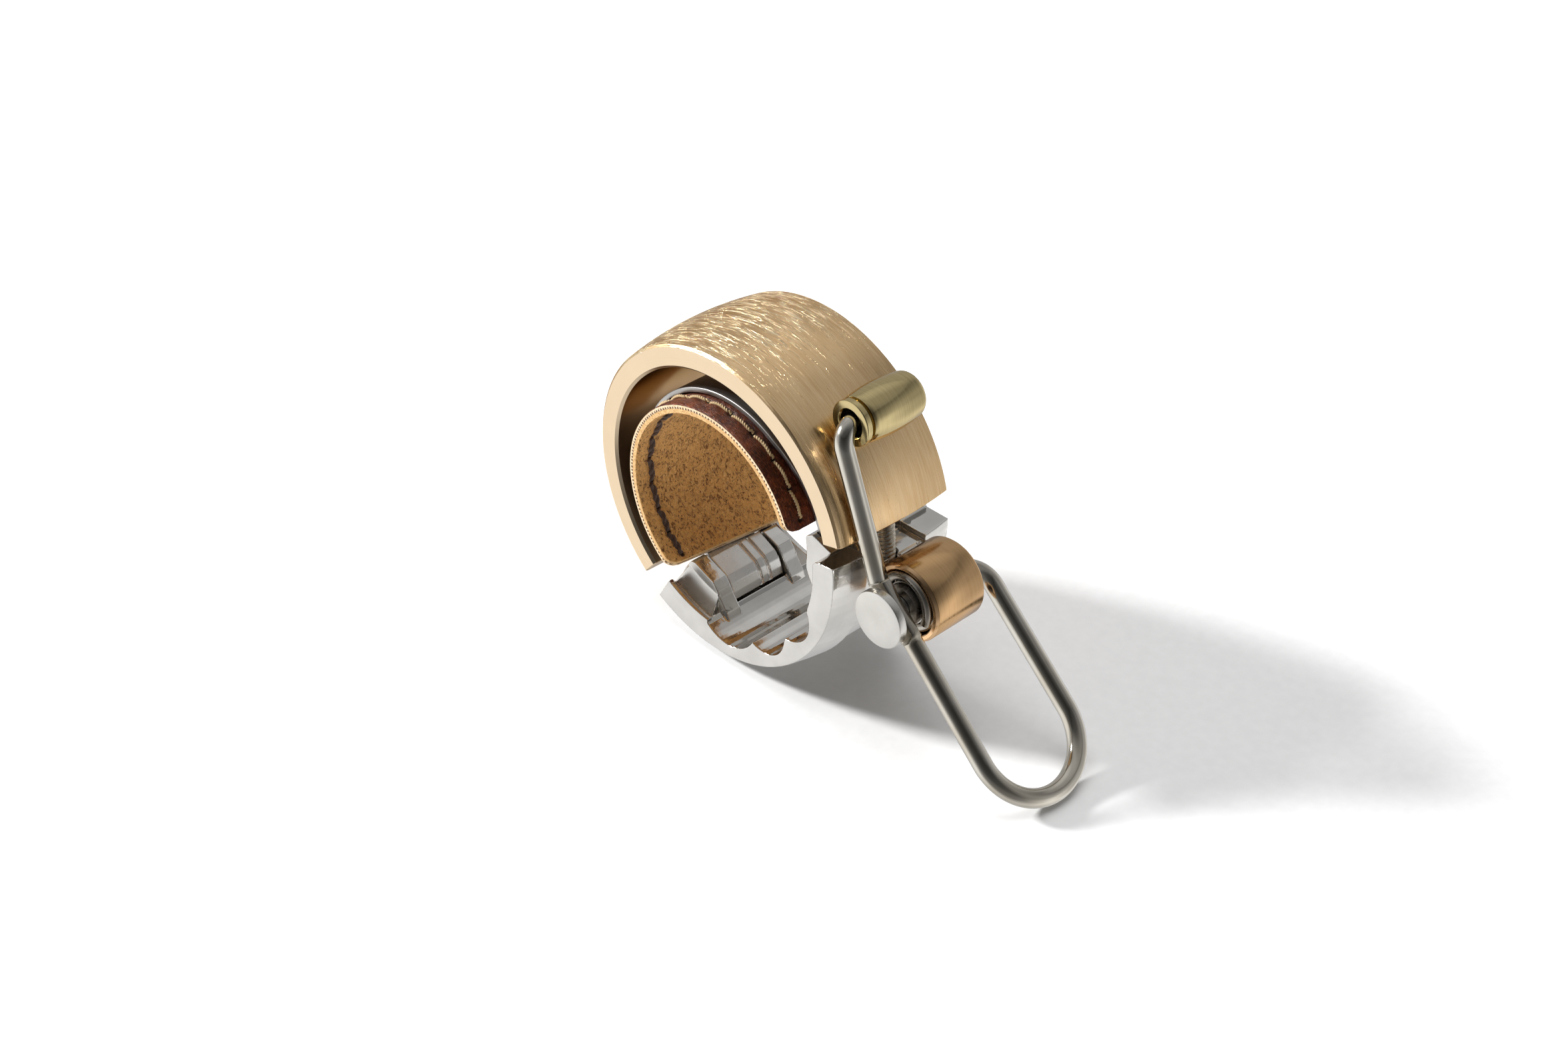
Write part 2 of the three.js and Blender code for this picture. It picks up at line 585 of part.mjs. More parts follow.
const pivotGroup = new THREE.Group();
pivotGroup.position.set(PIVOT.x, 0, PIVOT.z);
pivotGroup.add(
  mesh('spring_sleeve', springSleeve(), METALS.copperGold),
  mesh('return_spring', returnSpring(), METALS.wire),
  mesh('pivot_bush_front', bush(PIN.journal, -HUB.half, -BUSH.from), METALS.oliveGold),
  mesh('pivot_bush_rear', bush(WIRE.radius, BUSH.from, HUB.half), METALS.oliveGold),
  mesh('thrust_washer', washer(THRUST), METALS.steel),
  mesh('rear_washer', washer(REAR_WASHER), METALS.steel),
  mesh('retaining_clip', retainingClip(), METALS.steel),
  mesh('pivot_pin', pivotPin(), METALS.cast),
);
bell.add(pivotGroup);

const hammerGroup = new THREE.Group();
hammerGroup.position.set(HAMMER.x, 0, HAMMER.z);
hammerGroup.add(
  mesh('hammer', hammer(), METALS.oliveGold),
  mesh('hammer_bush', hammerBush(), [0x2c2b2a, 0.6, 0]),
);
bell.add(hammerGroup);

export default bell;
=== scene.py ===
"""Looks of a ring-shaped bicycle bell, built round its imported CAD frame.

Blender's own lengths are metres. Outlines, paths and the numbers in their functions are millimetres. Angles
run from +X towards +Z, in degrees, in the plane across the handlebar.
"""
import json
import math
import random

import bpy
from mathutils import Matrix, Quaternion, Vector, noise


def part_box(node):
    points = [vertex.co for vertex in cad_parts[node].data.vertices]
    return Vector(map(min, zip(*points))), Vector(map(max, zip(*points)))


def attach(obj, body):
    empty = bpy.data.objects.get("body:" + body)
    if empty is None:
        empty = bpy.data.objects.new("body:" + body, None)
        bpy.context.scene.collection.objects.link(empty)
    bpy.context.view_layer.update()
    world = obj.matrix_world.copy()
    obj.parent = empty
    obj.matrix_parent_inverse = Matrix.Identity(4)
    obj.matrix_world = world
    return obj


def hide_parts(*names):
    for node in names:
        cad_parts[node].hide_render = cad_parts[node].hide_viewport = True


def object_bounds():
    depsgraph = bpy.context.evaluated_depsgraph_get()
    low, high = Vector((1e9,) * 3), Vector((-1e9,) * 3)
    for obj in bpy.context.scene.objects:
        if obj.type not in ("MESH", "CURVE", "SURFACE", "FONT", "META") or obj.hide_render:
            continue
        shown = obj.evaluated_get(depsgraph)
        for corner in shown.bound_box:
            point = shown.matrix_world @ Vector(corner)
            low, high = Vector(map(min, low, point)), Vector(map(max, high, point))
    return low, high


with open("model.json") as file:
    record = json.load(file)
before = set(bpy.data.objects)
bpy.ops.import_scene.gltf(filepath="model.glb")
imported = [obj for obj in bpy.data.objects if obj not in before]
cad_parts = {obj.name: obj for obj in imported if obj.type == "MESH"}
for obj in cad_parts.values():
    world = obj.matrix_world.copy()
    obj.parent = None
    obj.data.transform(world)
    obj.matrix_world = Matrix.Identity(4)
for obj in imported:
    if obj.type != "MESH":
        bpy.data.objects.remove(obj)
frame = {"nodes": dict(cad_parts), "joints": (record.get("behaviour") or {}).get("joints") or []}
cad_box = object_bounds()

MM = 0.001
JOINT = frame["joints"][0]
PIVOT = (JOINT["pos_m"][0], JOINT["pos_m"][2])
ORIGIN = (0.0, 0.0)
UP_Y = Vector((0, 1, 0))
# Angles that materials read jump here, in the gap of the ring and of the collar.
COLLAR_SEAM = -60.0


# ---------------------------------------------------------------- camera, floor and light
CAMERA_TARGET_MM, CAMERA_DISTANCE_MM = (9.88, -7.5, 3.75), 223.3
CAMERA_AZIMUTH, CAMERA_ELEVATION, CAMERA_LENS = 46.26, 35.24, 52.56
FLOOR_HALF_M = 0.9


def add_camera():
    """Looks at a point beside the collar from in front, from the lever's side and from above."""
    azimuth, elevation = math.radians(CAMERA_AZIMUTH), math.radians(CAMERA_ELEVATION)
    target = Vector(CAMERA_TARGET_MM) * MM
    back = Vector((math.sin(azimuth) * math.cos(elevation),
                   -math.cos(azimuth) * math.cos(elevation), math.sin(elevation)))
    data = bpy.data.cameras.new("camera")
    data.sensor_width = 36
    data.lens = CAMERA_LENS
    data.clip_start = 0.01
    camera = bpy.data.objects.new("camera", data)
    camera.location = target + back * (CAMERA_DISTANCE_MM * MM)
    camera.rotation_euler = (-back).to_track_quat("-Z", "Y").to_euler()
    bpy.context.scene.collection.objects.link(camera)
    bpy.context.scene.camera = camera


def add_floor():
    """Plain pale paper under the lowest point. Mirror-like metal sees the studio instead of it."""
    low = cad_box[0][2]
    mesh = bpy.data.meshes.new("floor")
    half = FLOOR_HALF_M
    corners = [(-half, -half, low), (half, -half, low), (half, half, low), (-half, half, low)]
    mesh.from_pydata(corners, [], [(0, 1, 2, 3)])
    floor = bpy.data.objects.new("floor", mesh)
    bpy.context.scene.collection.objects.link(floor)
    g = Graph("floor_white")
    grain = g.noise(g.coords(), 900, 3)
    g.set("Base Color", g.ramp(grain, [(0.3, (0.9, 0.9, 0.9)), (0.7, (0.93, 0.93, 0.93))]))
    g.set("Roughness", 0.9)
    g.set("Specular IOR Level", 0.1)
    mesh.materials.append(g.material)
    floor.visible_glossy = False


def add_area(name, position_mm, target_mm, size_mm, power):
    data = bpy.data.lights.new(name, "AREA")
    data.shape = "RECTANGLE"
    data.size, data.size_y = size_mm[0] * MM, size_mm[1] * MM
    data.energy = power
    light = bpy.data.objects.new(name, data)
    light.location = Vector(position_mm) * MM
    direction = Vector(target_mm) * MM - light.location
    light.rotation_euler = direction.to_track_quat("-Z", "Y").to_euler()
    bpy.context.scene.collection.objects.link(light)
    return light


def add_lights():
    """A low key from the left, a softbox overhead, and a dim studio that is darkest behind the camera."""
    add_area("key", (-1550, -968, 1045), (0, 0, -5), (330, 330), 66.0)
    overhead = add_area("overhead", (-60, 60, 520), (0, 0, 0), (420, 420), 1.5)
    overhead.visible_glossy = False
    world = bpy.data.worlds.new("studio")
    bpy.context.scene.world = world
    world.use_nodes = True
    tree = world.node_tree
    background = tree.nodes["Background"]
    direction = tree.nodes.new("ShaderNodeTexCoord").outputs["Generated"]

    def facing(towards, stops):
        """Brightness by how far a direction points towards another: stops go from -1 to 1."""
        dot = tree.nodes.new("ShaderNodeVectorMath")
        dot.operation = "DOT_PRODUCT"
        dot.inputs[1].default_value = Vector(towards).normalized()
        ramp = tree.nodes.new("ShaderNodeValToRGB")
        elements = ramp.color_ramp.elements
        for i, (position, value) in enumerate(stops):
            element = elements[i] if i < 2 else elements.new(position)
            element.position, element.color = position / 2 + 0.5, (value, value, value, 1)
        half = tree.nodes.new("ShaderNodeMath")
        half.operation = "MULTIPLY_ADD"
        half.inputs[1].default_value = half.inputs[2].default_value = 0.5
        tree.links.new(direction, dot.inputs[0])
        tree.links.new(dot.outputs["Value"], half.inputs[0])
        tree.links.new(half.outputs[0], ramp.inputs["Fac"])
        return ramp.outputs["Color"]

    def combine(operation, a, b):
        mix = tree.nodes.new("ShaderNodeVectorMath")
        mix.operation = operation
        tree.links.new(a, mix.inputs[0])
        tree.links.new(b, mix.inputs[1])
        return mix.outputs[0]

    by_height = facing((0, 0, 1), [(-1, 0.55), (1, 0.4), (-0.6, 1.0), (-0.15, 1.0), (0.0, 0.82), (0.12, 0.56),
                                   (0.3, 0.2), (0.62, 0.155)])
    camera_side = facing((0.72, -0.69, 0.25), [(-1, 1.0), (1, 0.12), (0.25, 0.95), (0.7, 0.22)])
    back_left = facing((-0.6, 0.5, 0.55), [(-1, 0.0), (1, 0.25), (0.72, 0.0), (0.9, 0.18)])
    behind = facing((-0.79, 0.56, -0.22), [(-1, 1.0), (1, 0.36), (0.45, 1.0), (0.8, 0.48)])
    far_right = facing((0.5, 0.85, -0.2), [(-1, 1.0), (1, 0.5), (0.86, 1.0), (0.97, 0.58)])
    dimmed = combine("MULTIPLY", combine("MULTIPLY", camera_side, behind), far_right)
    studio = combine("ADD", combine("MULTIPLY", by_height, dimmed), back_left)
    tree.links.new(studio, background.inputs["Color"])
    background.inputs["Strength"].default_value = 1.25
    view = bpy.context.scene.view_settings
    view.view_transform = "Standard"
    view.look = "None"


# ---------------------------------------------------------------- node graphs
class Graph:
    """A material's node tree with short ways to add what the materials below share."""

    def __init__(self, name):
        self.material = bpy.data.materials.new(name)
        self.material.use_nodes = True
        self.tree = self.material.node_tree
        self.bsdf = self.tree.nodes["Principled BSDF"]

    def node(self, kind, inputs=(), **settings):
        node = self.tree.nodes.new(kind)
        for key, value in settings.items():
            setattr(node, key, value)
        for key, value in dict(inputs).items():
            self.feed(node.inputs[key], value)
        return node

    def feed(self, socket, value):
        if isinstance(value, bpy.types.NodeSocket):
            self.tree.links.new(value, socket)
        elif isinstance(value, tuple) and socket.type == "RGBA":
            socket.default_value = (*value[:3], 1)
        else:
            socket.default_value = value

    def set(self, name, value):
        self.feed(self.bsdf.inputs[name], value)

    def coords(self):
        return self.node("ShaderNodeTexCoord").outputs["Object"]

    def math(self, operation, a, b=0.0):
        node = self.node("ShaderNodeMath", operation=operation)
        self.feed(node.inputs[0], a)
        self.feed(node.inputs[1], b)
        return node.outputs[0]

    def join(self, x, y, z):
        return self.node("ShaderNodeCombineXYZ", {"X": x, "Y": y, "Z": z}).outputs[0]

    def split(self, vector):
        return self.node("ShaderNodeSeparateXYZ", {"Vector": vector}).outputs

    def scaled(self, vector, factors):
        return self.node("ShaderNodeMapping", {"Vector": vector, "Scale": factors}).outputs[0]

    def around(self, centre=ORIGIN, seam=COLLAR_SEAM):
        """Angle in radians round an axis along Y, distance along it, and radius. The angle jumps at seam."""
        x, y, z = self.split(self.coords())[:3]
        dx = self.math("SUBTRACT", x, centre[0])
        dz = self.math("SUBTRACT", z, centre[1])
        c, s = math.cos(math.radians(seam)), math.sin(math.radians(seam))
        u = self.math("ADD", self.math("MULTIPLY", dx, -c), self.math("MULTIPLY", dz, -s))
        v = self.math("ADD", self.math("MULTIPLY", dx, s), self.math("MULTIPLY", dz, -c))
        angle = self.math("ARCTAN2", v, u)
        squares = self.math("ADD", self.math("MULTIPLY", dx, dx), self.math("MULTIPLY", dz, dz))
        return angle, y, self.math("SQRT", squares)

    def noise(self, vector, scale, detail=2.0, rough=0.5, distortion=0.0):
        settings = {"Vector": vector, "Scale": scale, "Detail": detail, "Roughness": rough}
        return self.node("ShaderNodeTexNoise", {**settings, "Distortion": distortion}).outputs[0]

    def cells(self, vector, scale):
        return self.node("ShaderNodeTexVoronoi", {"Vector": vector, "Scale": scale}).outputs[0]

    def ramp(self, factor, stops):
        node = self.node("ShaderNodeValToRGB", {"Fac": factor})
        elements = node.color_ramp.elements
        for i, (position, value) in enumerate(stops):
            element = elements[i] if i < 2 else elements.new(position)
            element.position = position
            element.color = (*value, 1) if isinstance(value, tuple) else (value, value, value, 1)
        return node.outputs[0]

    def mix(self, factor, a, b):
        node = self.node("ShaderNodeMix", data_type="RGBA")
        self.feed(node.inputs[0], factor)
        self.feed(node.inputs[6], a)
        self.feed(node.inputs[7], b)
        return node.outputs[2]

    def bump(self, height, strength, distance_mm, under=None):
        node = self.node("ShaderNodeBump", {
            "Height": height, "Strength": strength, "Distance": distance_mm * MM})
        if under is not None:
            self.tree.links.new(under, node.inputs["Normal"])
        return node.outputs[0]

    def map_range(self, value, low, high, to_low, to_high):
        ends = {"From Min": low, "From Max": high, "To Min": to_low, "To Max": to_high}
        return self.node("ShaderNodeMapRange", {"Value": value, **ends}).outputs[0]


# ---------------------------------------------------------------- materials
def brushed(name, base, streak, rough, centre, seam, lines_per_mm=8.0, stroke_mm=2.5, radius_mm=18.0,
            strength=0.35, anisotropy=0.5, nicks_and_painted_glints=None, edge_tint=(0.85, 0.8, 0.75)):
    """Metal brushed round an axis along Y.

    The nick band says where steep nicks lie, in radians: round a middle angle, in full up to one distance
    from it and none past another. There the nicks are also painted bright gold: a painted highlight where the
    key light glints.
    """
    g = Graph(name)
    angle, y, radius = g.around(centre, seam)
    run = g.math("MULTIPLY", angle, radius_mm / stroke_mm)

    def strokes(length, per_mm, depth):
        return g.join(g.math("MULTIPLY", run, length), g.math("MULTIPLY", y, per_mm / MM), depth)

    fine = g.noise(strokes(1.0, lines_per_mm, g.math("MULTIPLY", radius, 2 / MM)), 1.0, 3, 0.65)
    lines = g.noise(strokes(0.45, 0.42 * lines_per_mm, radius), 1.0, 3, 0.7, 0.3)
    broad = g.noise(strokes(0.6, 1.1, radius), 1.0, 3, 0.6, 0.4)
    patch = g.noise(g.coords(), 220, 2)
    grain = g.math("ADD", g.math("MULTIPLY", fine, 0.5), g.math("MULTIPLY", lines, 0.5))
    tone = g.mix(g.ramp(grain, [(0.38, 0.0), (0.62, 1.0)]), base, streak)
    tone = g.mix(g.map_range(patch, 0.3, 0.7, 0.0, 0.4 * strength), tone, tuple(0.85 * v for v in base))
    gloss = g.math("ADD", g.map_range(grain, 0.35, 0.65, rough - 0.08, rough + 0.08),
                   g.map_range(broad, 0.3, 0.7, -0.06 * strength, 0.08 * strength))
    height = g.math("ADD", grain, g.math("MULTIPLY", broad, 0.4))
    normal = g.bump(height, strength, 0.02)
    if nicks_and_painted_glints:
        middle, full, none = nicks_and_painted_glints
        away = g.math("ABSOLUTE", g.math("SUBTRACT", angle, middle))
        tilted = g.join(g.math("ADD", g.math("MULTIPLY", run, 1.1), g.math("MULTIPLY", y, 0.7 / MM)),
                        g.math("MULTIPLY", y, 3.2 / MM), radius)
        torn = g.noise(tilted, 1.0, 4, 0.7, 0.8)
        depth = g.math("SUBTRACT", torn, g.map_range(away, full, none, 0.0, 0.2))
        nick_and_painted_glint = g.map_range(depth, 0.50, 0.60, 0.0, 1.0)
        # Painted highlight: the nicks are coloured bright gold, and only in the band where the key light
        # glints.
        tone = g.mix(g.math("MULTIPLY", nick_and_painted_glint, 0.85), tone, (1.0, 0.86, 0.58))
        normal = g.bump(nick_and_painted_glint, 1.0, 0.04, normal)
        anisotropy = g.map_range(away, full, none, 0.25, anisotropy)
    g.set("Base Color", tone)
    g.set("Metallic", 1.0)
    g.set("Roughness", gloss)
    g.set("Specular Tint", edge_tint)
    g.set("Anisotropic", anisotropy)
    g.set("Tangent", g.node("ShaderNodeTangent", direction_type="RADIAL", axis="Y").outputs[0])
    g.set("Normal", normal)
    return g.material


def turned_face(name, base, rough, centre=ORIGIN, seam=COLLAR_SEAM, rings_per_mm=14.0, strength=0.12,
                edge_tint=(0.85, 0.8, 0.75)):
    """Flat face cut on a lathe: faint rings round the axis."""
    g = Graph(name)
    angle, y, radius = g.around(centre, seam)
    rings = g.noise(g.join(g.math("MULTIPLY", angle, 0.8), g.math("MULTIPLY", y, 300.0),
                           g.math("MULTIPLY", radius, rings_per_mm / MM)), 1.0, 2, 0.6)
    cloud = g.noise(g.coords(), 350, 3)
    g.set("Base Color", g.mix(g.map_range(cloud, 0.3, 0.7, 0, 0.5), base, tuple(0.93 * v for v in base)))
    g.set("Metallic", 1.0)
    g.set("Specular Tint", edge_tint)
    g.set("Roughness", g.map_range(rings, 0.3, 0.7, rough - 0.04, rough + 0.04))
    g.set("Normal", g.bump(rings, strength, 0.01))
    return g.material


def cast_metal(name, base, rough, grain_per_m, strength, wear=0.35, face=None, polished_inside_mm=None):
    """Plated casting with orange-peel grain and worn edges.

    face is the roughness of faces across Y. Inside polished_inside_mm the casting is smoother.
    """
    g = Graph(name)
    spot = g.coords()
    grain = g.noise(spot, grain_per_m, 3, 0.55)
    pits = g.ramp(g.noise(spot, grain_per_m * 0.45, 2, 0.5), [(0.32, 0.0), (0.42, 1.0)])
    cloud = g.noise(spot, 260, 3)
    tone = g.mix(g.map_range(cloud, 0.3, 0.7, 0, 1), base, tuple(0.86 * v for v in base))
    edge = g.ramp(g.node("ShaderNodeNewGeometry").outputs["Pointiness"], [(0.52, 0.0), (0.6, 1.0)])
    g.set("Base Color", g.mix(g.math("MULTIPLY", edge, wear), tone, (0.93, 0.91, 0.87)))
    g.set("Metallic", 1.0)
    gloss = g.map_range(cloud, 0.3, 0.7, rough - 0.05, rough + 0.07)
    if face:
        across = g.split(g.node("ShaderNodeTexCoord").outputs["Normal"])[1]
        flat = g.ramp(g.math("ABSOLUTE", across), [(0.9, 0.0), (0.99, 1.0)])
        gloss = g.math("ADD", gloss, g.math("MULTIPLY", flat, face - rough))
        if polished_inside_mm:
            radius = g.around()[2]
            deep = g.map_range(radius, polished_inside_mm * MM, (polished_inside_mm + 0.4) * MM, 1.0, 0.0)
            polish = g.math("MULTIPLY", deep, g.math("SUBTRACT", 1.0, flat))
            gloss = g.math("SUBTRACT", gloss, g.math("MULTIPLY", polish, 0.15))
            strength = g.map_range(polish, 0.0, 1.0, strength, 0.45 * strength)
    g.set("Roughness", gloss)
    g.set("Normal", g.bump(g.math("ADD", grain, g.math("MULTIPLY", pits, 0.35)), strength, 0.03))
    return g.material


def drawn_wire(name, base, rough, strength=0.2):
    """Polished drawn wire with faint dull marks and a little tarnish."""
    g = Graph(name)
    spot = g.coords()
    marks = g.noise(g.scaled(spot, (700, 700, 700)), 1.0, 4, 0.65)
    tarnish = g.noise(spot, 160, 3, 0.6)
    dull = tuple(value * share for value, share in zip(base, (0.84, 0.8, 0.74)))
    tone = g.mix(g.map_range(tarnish, 0.35, 0.7, 0, 1), base, dull)
    g.set("Base Color", tone)
    g.set("Metallic", 1.0)
    g.set("Roughness", g.map_range(marks, 0.3, 0.7, rough - 0.05, rough + 0.09))
    g.set("Normal", g.bump(marks, strength, 0.012))
    return g.material


def leather_flat(g, radius_mm):
    """Angle, width and radius round the collar, and the same laid flat, so that grain doesn't stretch."""
    angle, y, radius = g.around(ORIGIN, COLLAR_SEAM)
    along = g.math("MULTIPLY", angle, radius_mm)
    flat = g.join(along, g.math("MULTIPLY", y, 1 / MM), g.math("MULTIPLY", radius, 1 / MM))
    return angle, y, radius, flat


def needle_holes(g, angle, y, radius_mm):
    """Dark where the awl went through: round spots at the ends of the stitches."""
    turned = g.math("ADD", g.math("MULTIPLY", angle, 180 / math.pi), COLLAR_SEAM + 180.0)
    skewed = {"Value": turned, "From Min": SKEW_FROM, "From Max": SKEW_TO}
    share = g.node("ShaderNodeMapRange", skewed, interpolation_type="SMOOTHSTEP").outputs[0]
    lean = g.math("MULTIPLY", g.math("MULTIPLY", y, END_SKEW / MM), share)
    first, second = stitch_ends()[:2]
    from_first = g.math("SUBTRACT", g.math("SUBTRACT", turned, lean), SEAM_FROM)
    steps = g.math("DIVIDE", from_first, second - first)
    # 40 whole steps more keep the sum positive and change nothing else.
    off = g.math("SUBTRACT", g.math("FRACT", g.math("ADD", steps, 40.5)), 0.5)
    along = g.math("MULTIPLY", off, math.radians(second - first) * radius_mm)
    spots = []
    for seam in (SEAM_FRONT, SEAM_REAR):
        across = g.math("SUBTRACT", g.math("MULTIPLY", y, 1 / MM), seam)
        squares = g.math("ADD", g.math("MULTIPLY", across, across), g.math("MULTIPLY", along, along))
        spots.append(g.map_range(g.math("SQRT", squares), 0.2, 0.36, 1.0, 0.0))
    return g.math("MAXIMUM", *spots)


def suede(name):
    """Flesh side of tan leather: pale fibres with dark open pores and rubbed golden patches."""
    g = Graph(name)
    angle, y, _radius, flat = leather_flat(g, BAR_RADIUS)
    fibre = g.noise(flat, 3.4, 6, 0.8, 1.4)
    patch = g.noise(flat, 0.4, 3, 0.6)
    specks = g.map_range(g.noise(g.scaled(flat, (0.8, 1.2, 1.0)), 1.9, 5, 0.74, 1.2), 0.40, 0.47, 1.0, 0.0)
    pores = g.map_range(g.cells(g.scaled(flat, (1.0, 1.4, 1.0)), 1.7), 0.10, 0.21, 1.0, 0.0)
    shades = [(0.32, (0.36, 0.165, 0.045)), (0.5, (0.70, 0.37, 0.12)), (0.66, (0.94, 0.60, 0.25))]
    tone = g.ramp(fibre, shades)
    tone = g.mix(g.map_range(patch, 0.4, 0.7, 0, 0.5), tone, (0.72, 0.37, 0.11))
    tone = g.mix(g.math("MULTIPLY", specks, 0.8), tone, (0.13, 0.048, 0.014))
    tone = g.mix(g.math("MULTIPLY", pores, 0.85), tone, (0.055, 0.02, 0.007))
    g.set("Base Color", g.mix(needle_holes(g, angle, y, BAR_RADIUS), tone, (0.03, 0.012, 0.006)))
    g.set("Roughness", 0.92)
    g.set("Specular IOR Level", 0.2)
    g.set("Sheen Weight", 0.25)
    g.set("Sheen Tint", (0.9, 0.7, 0.45))
    height = g.math("SUBTRACT", fibre, g.math("MULTIPLY", g.math("ADD", pores, specks), 0.5))
    g.set("Normal", g.bump(height, 0.9, 0.1))
    return g.material


def grain_leather(name):
    """Oiled red-brown grain side: short slanted creases, a painted highlight on their crests and painted
    shade in the hollows.
    """
    g = Graph(name)
    angle, y, _radius, flat = leather_flat(g, COVER_OUTER)

    def creases(slant, scale):
        turned = {"Vector": flat, "Rotation": (0, 0, slant), "Scale": scale}
        return g.noise(g.node("ShaderNodeMapping", turned).outputs[0], 1.0, 3, 0.6, 0.3)

    weave = g.math("MAXIMUM", creases(0.7, (2.2, 7.5, 1.0)), creases(-0.6, (2.0, 6.5, 1.0)))
    wrinkles = g.noise(g.scaled(flat, (2.4, 0.8, 1.0)), 1.1, 5, 0.7, 0.9)
    mottle = g.noise(flat, 0.8, 4, 0.65)
    shades = [(0.3, (0.028, 0.005, 0.002)), (0.5, (0.08, 0.016, 0.005)), (0.72, (0.20, 0.045, 0.012))]
    tone = g.ramp(mottle, shades)
    # Painted highlight: the crests of the creases are coloured a bright red-brown.
    tone = g.mix(g.ramp(weave, [(0.56, 0.0), (0.70, 0.7)]), tone, (0.40, 0.12, 0.042))
    # Painted shade: the hollows between the creases are coloured near black.
    tone = g.mix(g.ramp(weave, [(0.38, 0.8), (0.46, 0.0)]), tone, (0.020, 0.005, 0.003))
    g.set("Base Color", g.mix(needle_holes(g, angle, y, COVER_OUTER), tone, (0.008, 0.003, 0.002)))
    g.set("Roughness", g.map_range(wrinkles, 0.3, 0.7, 0.42, 0.24))
    g.set("Specular IOR Level", 0.42)
    height = g.math("ADD", g.math("MULTIPLY", weave, 2.2), g.math("MULTIPLY", wrinkles, 1.2))
    g.set("Normal", g.bump(height, 0.85, 0.09))
    return g.material


def cut_edge(name, pale, gold, pore_radius_mm=None):
    """Cut edge of leather: pale rough fibres, and a row of small dark pores at a radius if one is given."""
    g = Graph(name)
    angle, _y, radius, flat = leather_flat(g, 12.0)
    fibre = g.noise(g.scaled(flat, (3.0, 5.0, 5.0)), 1.0, 5, 0.75, 0.5)
    tone = g.mix(g.ramp(fibre, [(0.36, 0.0), (0.62, 1.0)]), gold, pale)
    height = fibre
    if pore_radius_mm:
        wander = g.math("MULTIPLY", g.math("SUBTRACT", g.noise(flat, 2.0, 2), 0.5), 0.5)
        paces = g.math("MULTIPLY", angle, pore_radius_mm / PORE_PITCH)
        step = g.math("FRACT", g.math("ADD", paces, g.math("ADD", wander, 90.0)))
        along = g.math("MULTIPLY", g.math("SUBTRACT", step, 0.5), PORE_PITCH)
        across = g.math("SUBTRACT", g.math("MULTIPLY", radius, 1 / MM), pore_radius_mm)
        squares = g.math("ADD", g.math("MULTIPLY", across, across), g.math("MULTIPLY", along, along))
        pores = g.map_range(g.math("SQRT", squares), 0.09, 0.15, 1.0, 0.0)
        tone = g.mix(g.math("MULTIPLY", pores, 0.95), tone, (0.10, 0.04, 0.014))
        height = g.math("SUBTRACT", fibre, pores)
    g.set("Base Color", tone)
    g.set("Roughness", 0.85)
    g.set("Normal", g.bump(height, 0.8, 0.08))
    return g.material


def thread_fibre(name, base, deep):
    """Waxed thread: fine fibres between two shades."""
    g = Graph(name)
    spot = g.coords()
    fibre = g.noise(g.scaled(spot, (9000, 9000, 9000)), 1.0, 3, 0.6)
    g.set("Base Color", g.mix(g.ramp(fibre, [(0.3, 0.0), (0.7, 1.0)]), deep, base))
    g.set("Roughness", 0.6)
    g.set("Sheen Weight", 0.2)
    g.set("Normal", g.bump(fibre, 0.5, 0.03))
    return g.material


def moulded(name, base):
    """Dull moulded plastic with a fine grain."""
    g = Graph(name)
    grain = g.noise(g.coords(), 5000, 2)
    g.set("Base Color", g.mix(g.map_range(grain, 0.3, 0.7, 0, 0.4), base, tuple(2 * v for v in base)))
    g.set("Roughness", g.map_range(grain, 0.3, 0.7, 0.45, 0.6))
    g.set("Normal", g.bump(grain, 0.2, 0.02))
    return g.material


# ---------------------------------------------------------------- shape helpers
def round_corners(points, radius, segments):
    """A closed outline with its corners rounded."""
    outline = []
    count = len(points)
    for i, point in enumerate(points):
        corner, before, after = (Vector(p) for p in (point, points[i - 1], points[(i + 1) % count]))
        back, ahead = (before - corner), (after - corner)
        half = back.angle(ahead) / 2
        reach = min(radius / math.tan(half), 0.49 * back.length, 0.49 * ahead.length)
        start, end = corner + back.normalized() * reach, corner + ahead.normalized() * reach
        for k in range(segments + 1):
            t = k / segments
            outline.append(tuple(start * (1 - t) ** 2 + corner * (2 * t * (1 - t)) + end * t ** 2))
    return outline


def new_piece(name, verts, faces, materials, zones=None, smooth_angle=35.0):
    mesh = bpy.data.meshes.new(name)
    mesh.from_pydata(verts, [], faces)
    for material in materials:
        mesh.materials.append(material)
    if zones:
        mesh.polygons.foreach_set("material_index", zones)
    mesh.validate()
    mesh.update()
    mesh.shade_smooth()
    mesh.set_sharp_from_angle(angle=math.radians(smooth_angle))
    piece = bpy.data.objects.new(name, mesh)
    bpy.context.scene.collection.objects.link(piece)
    return piece


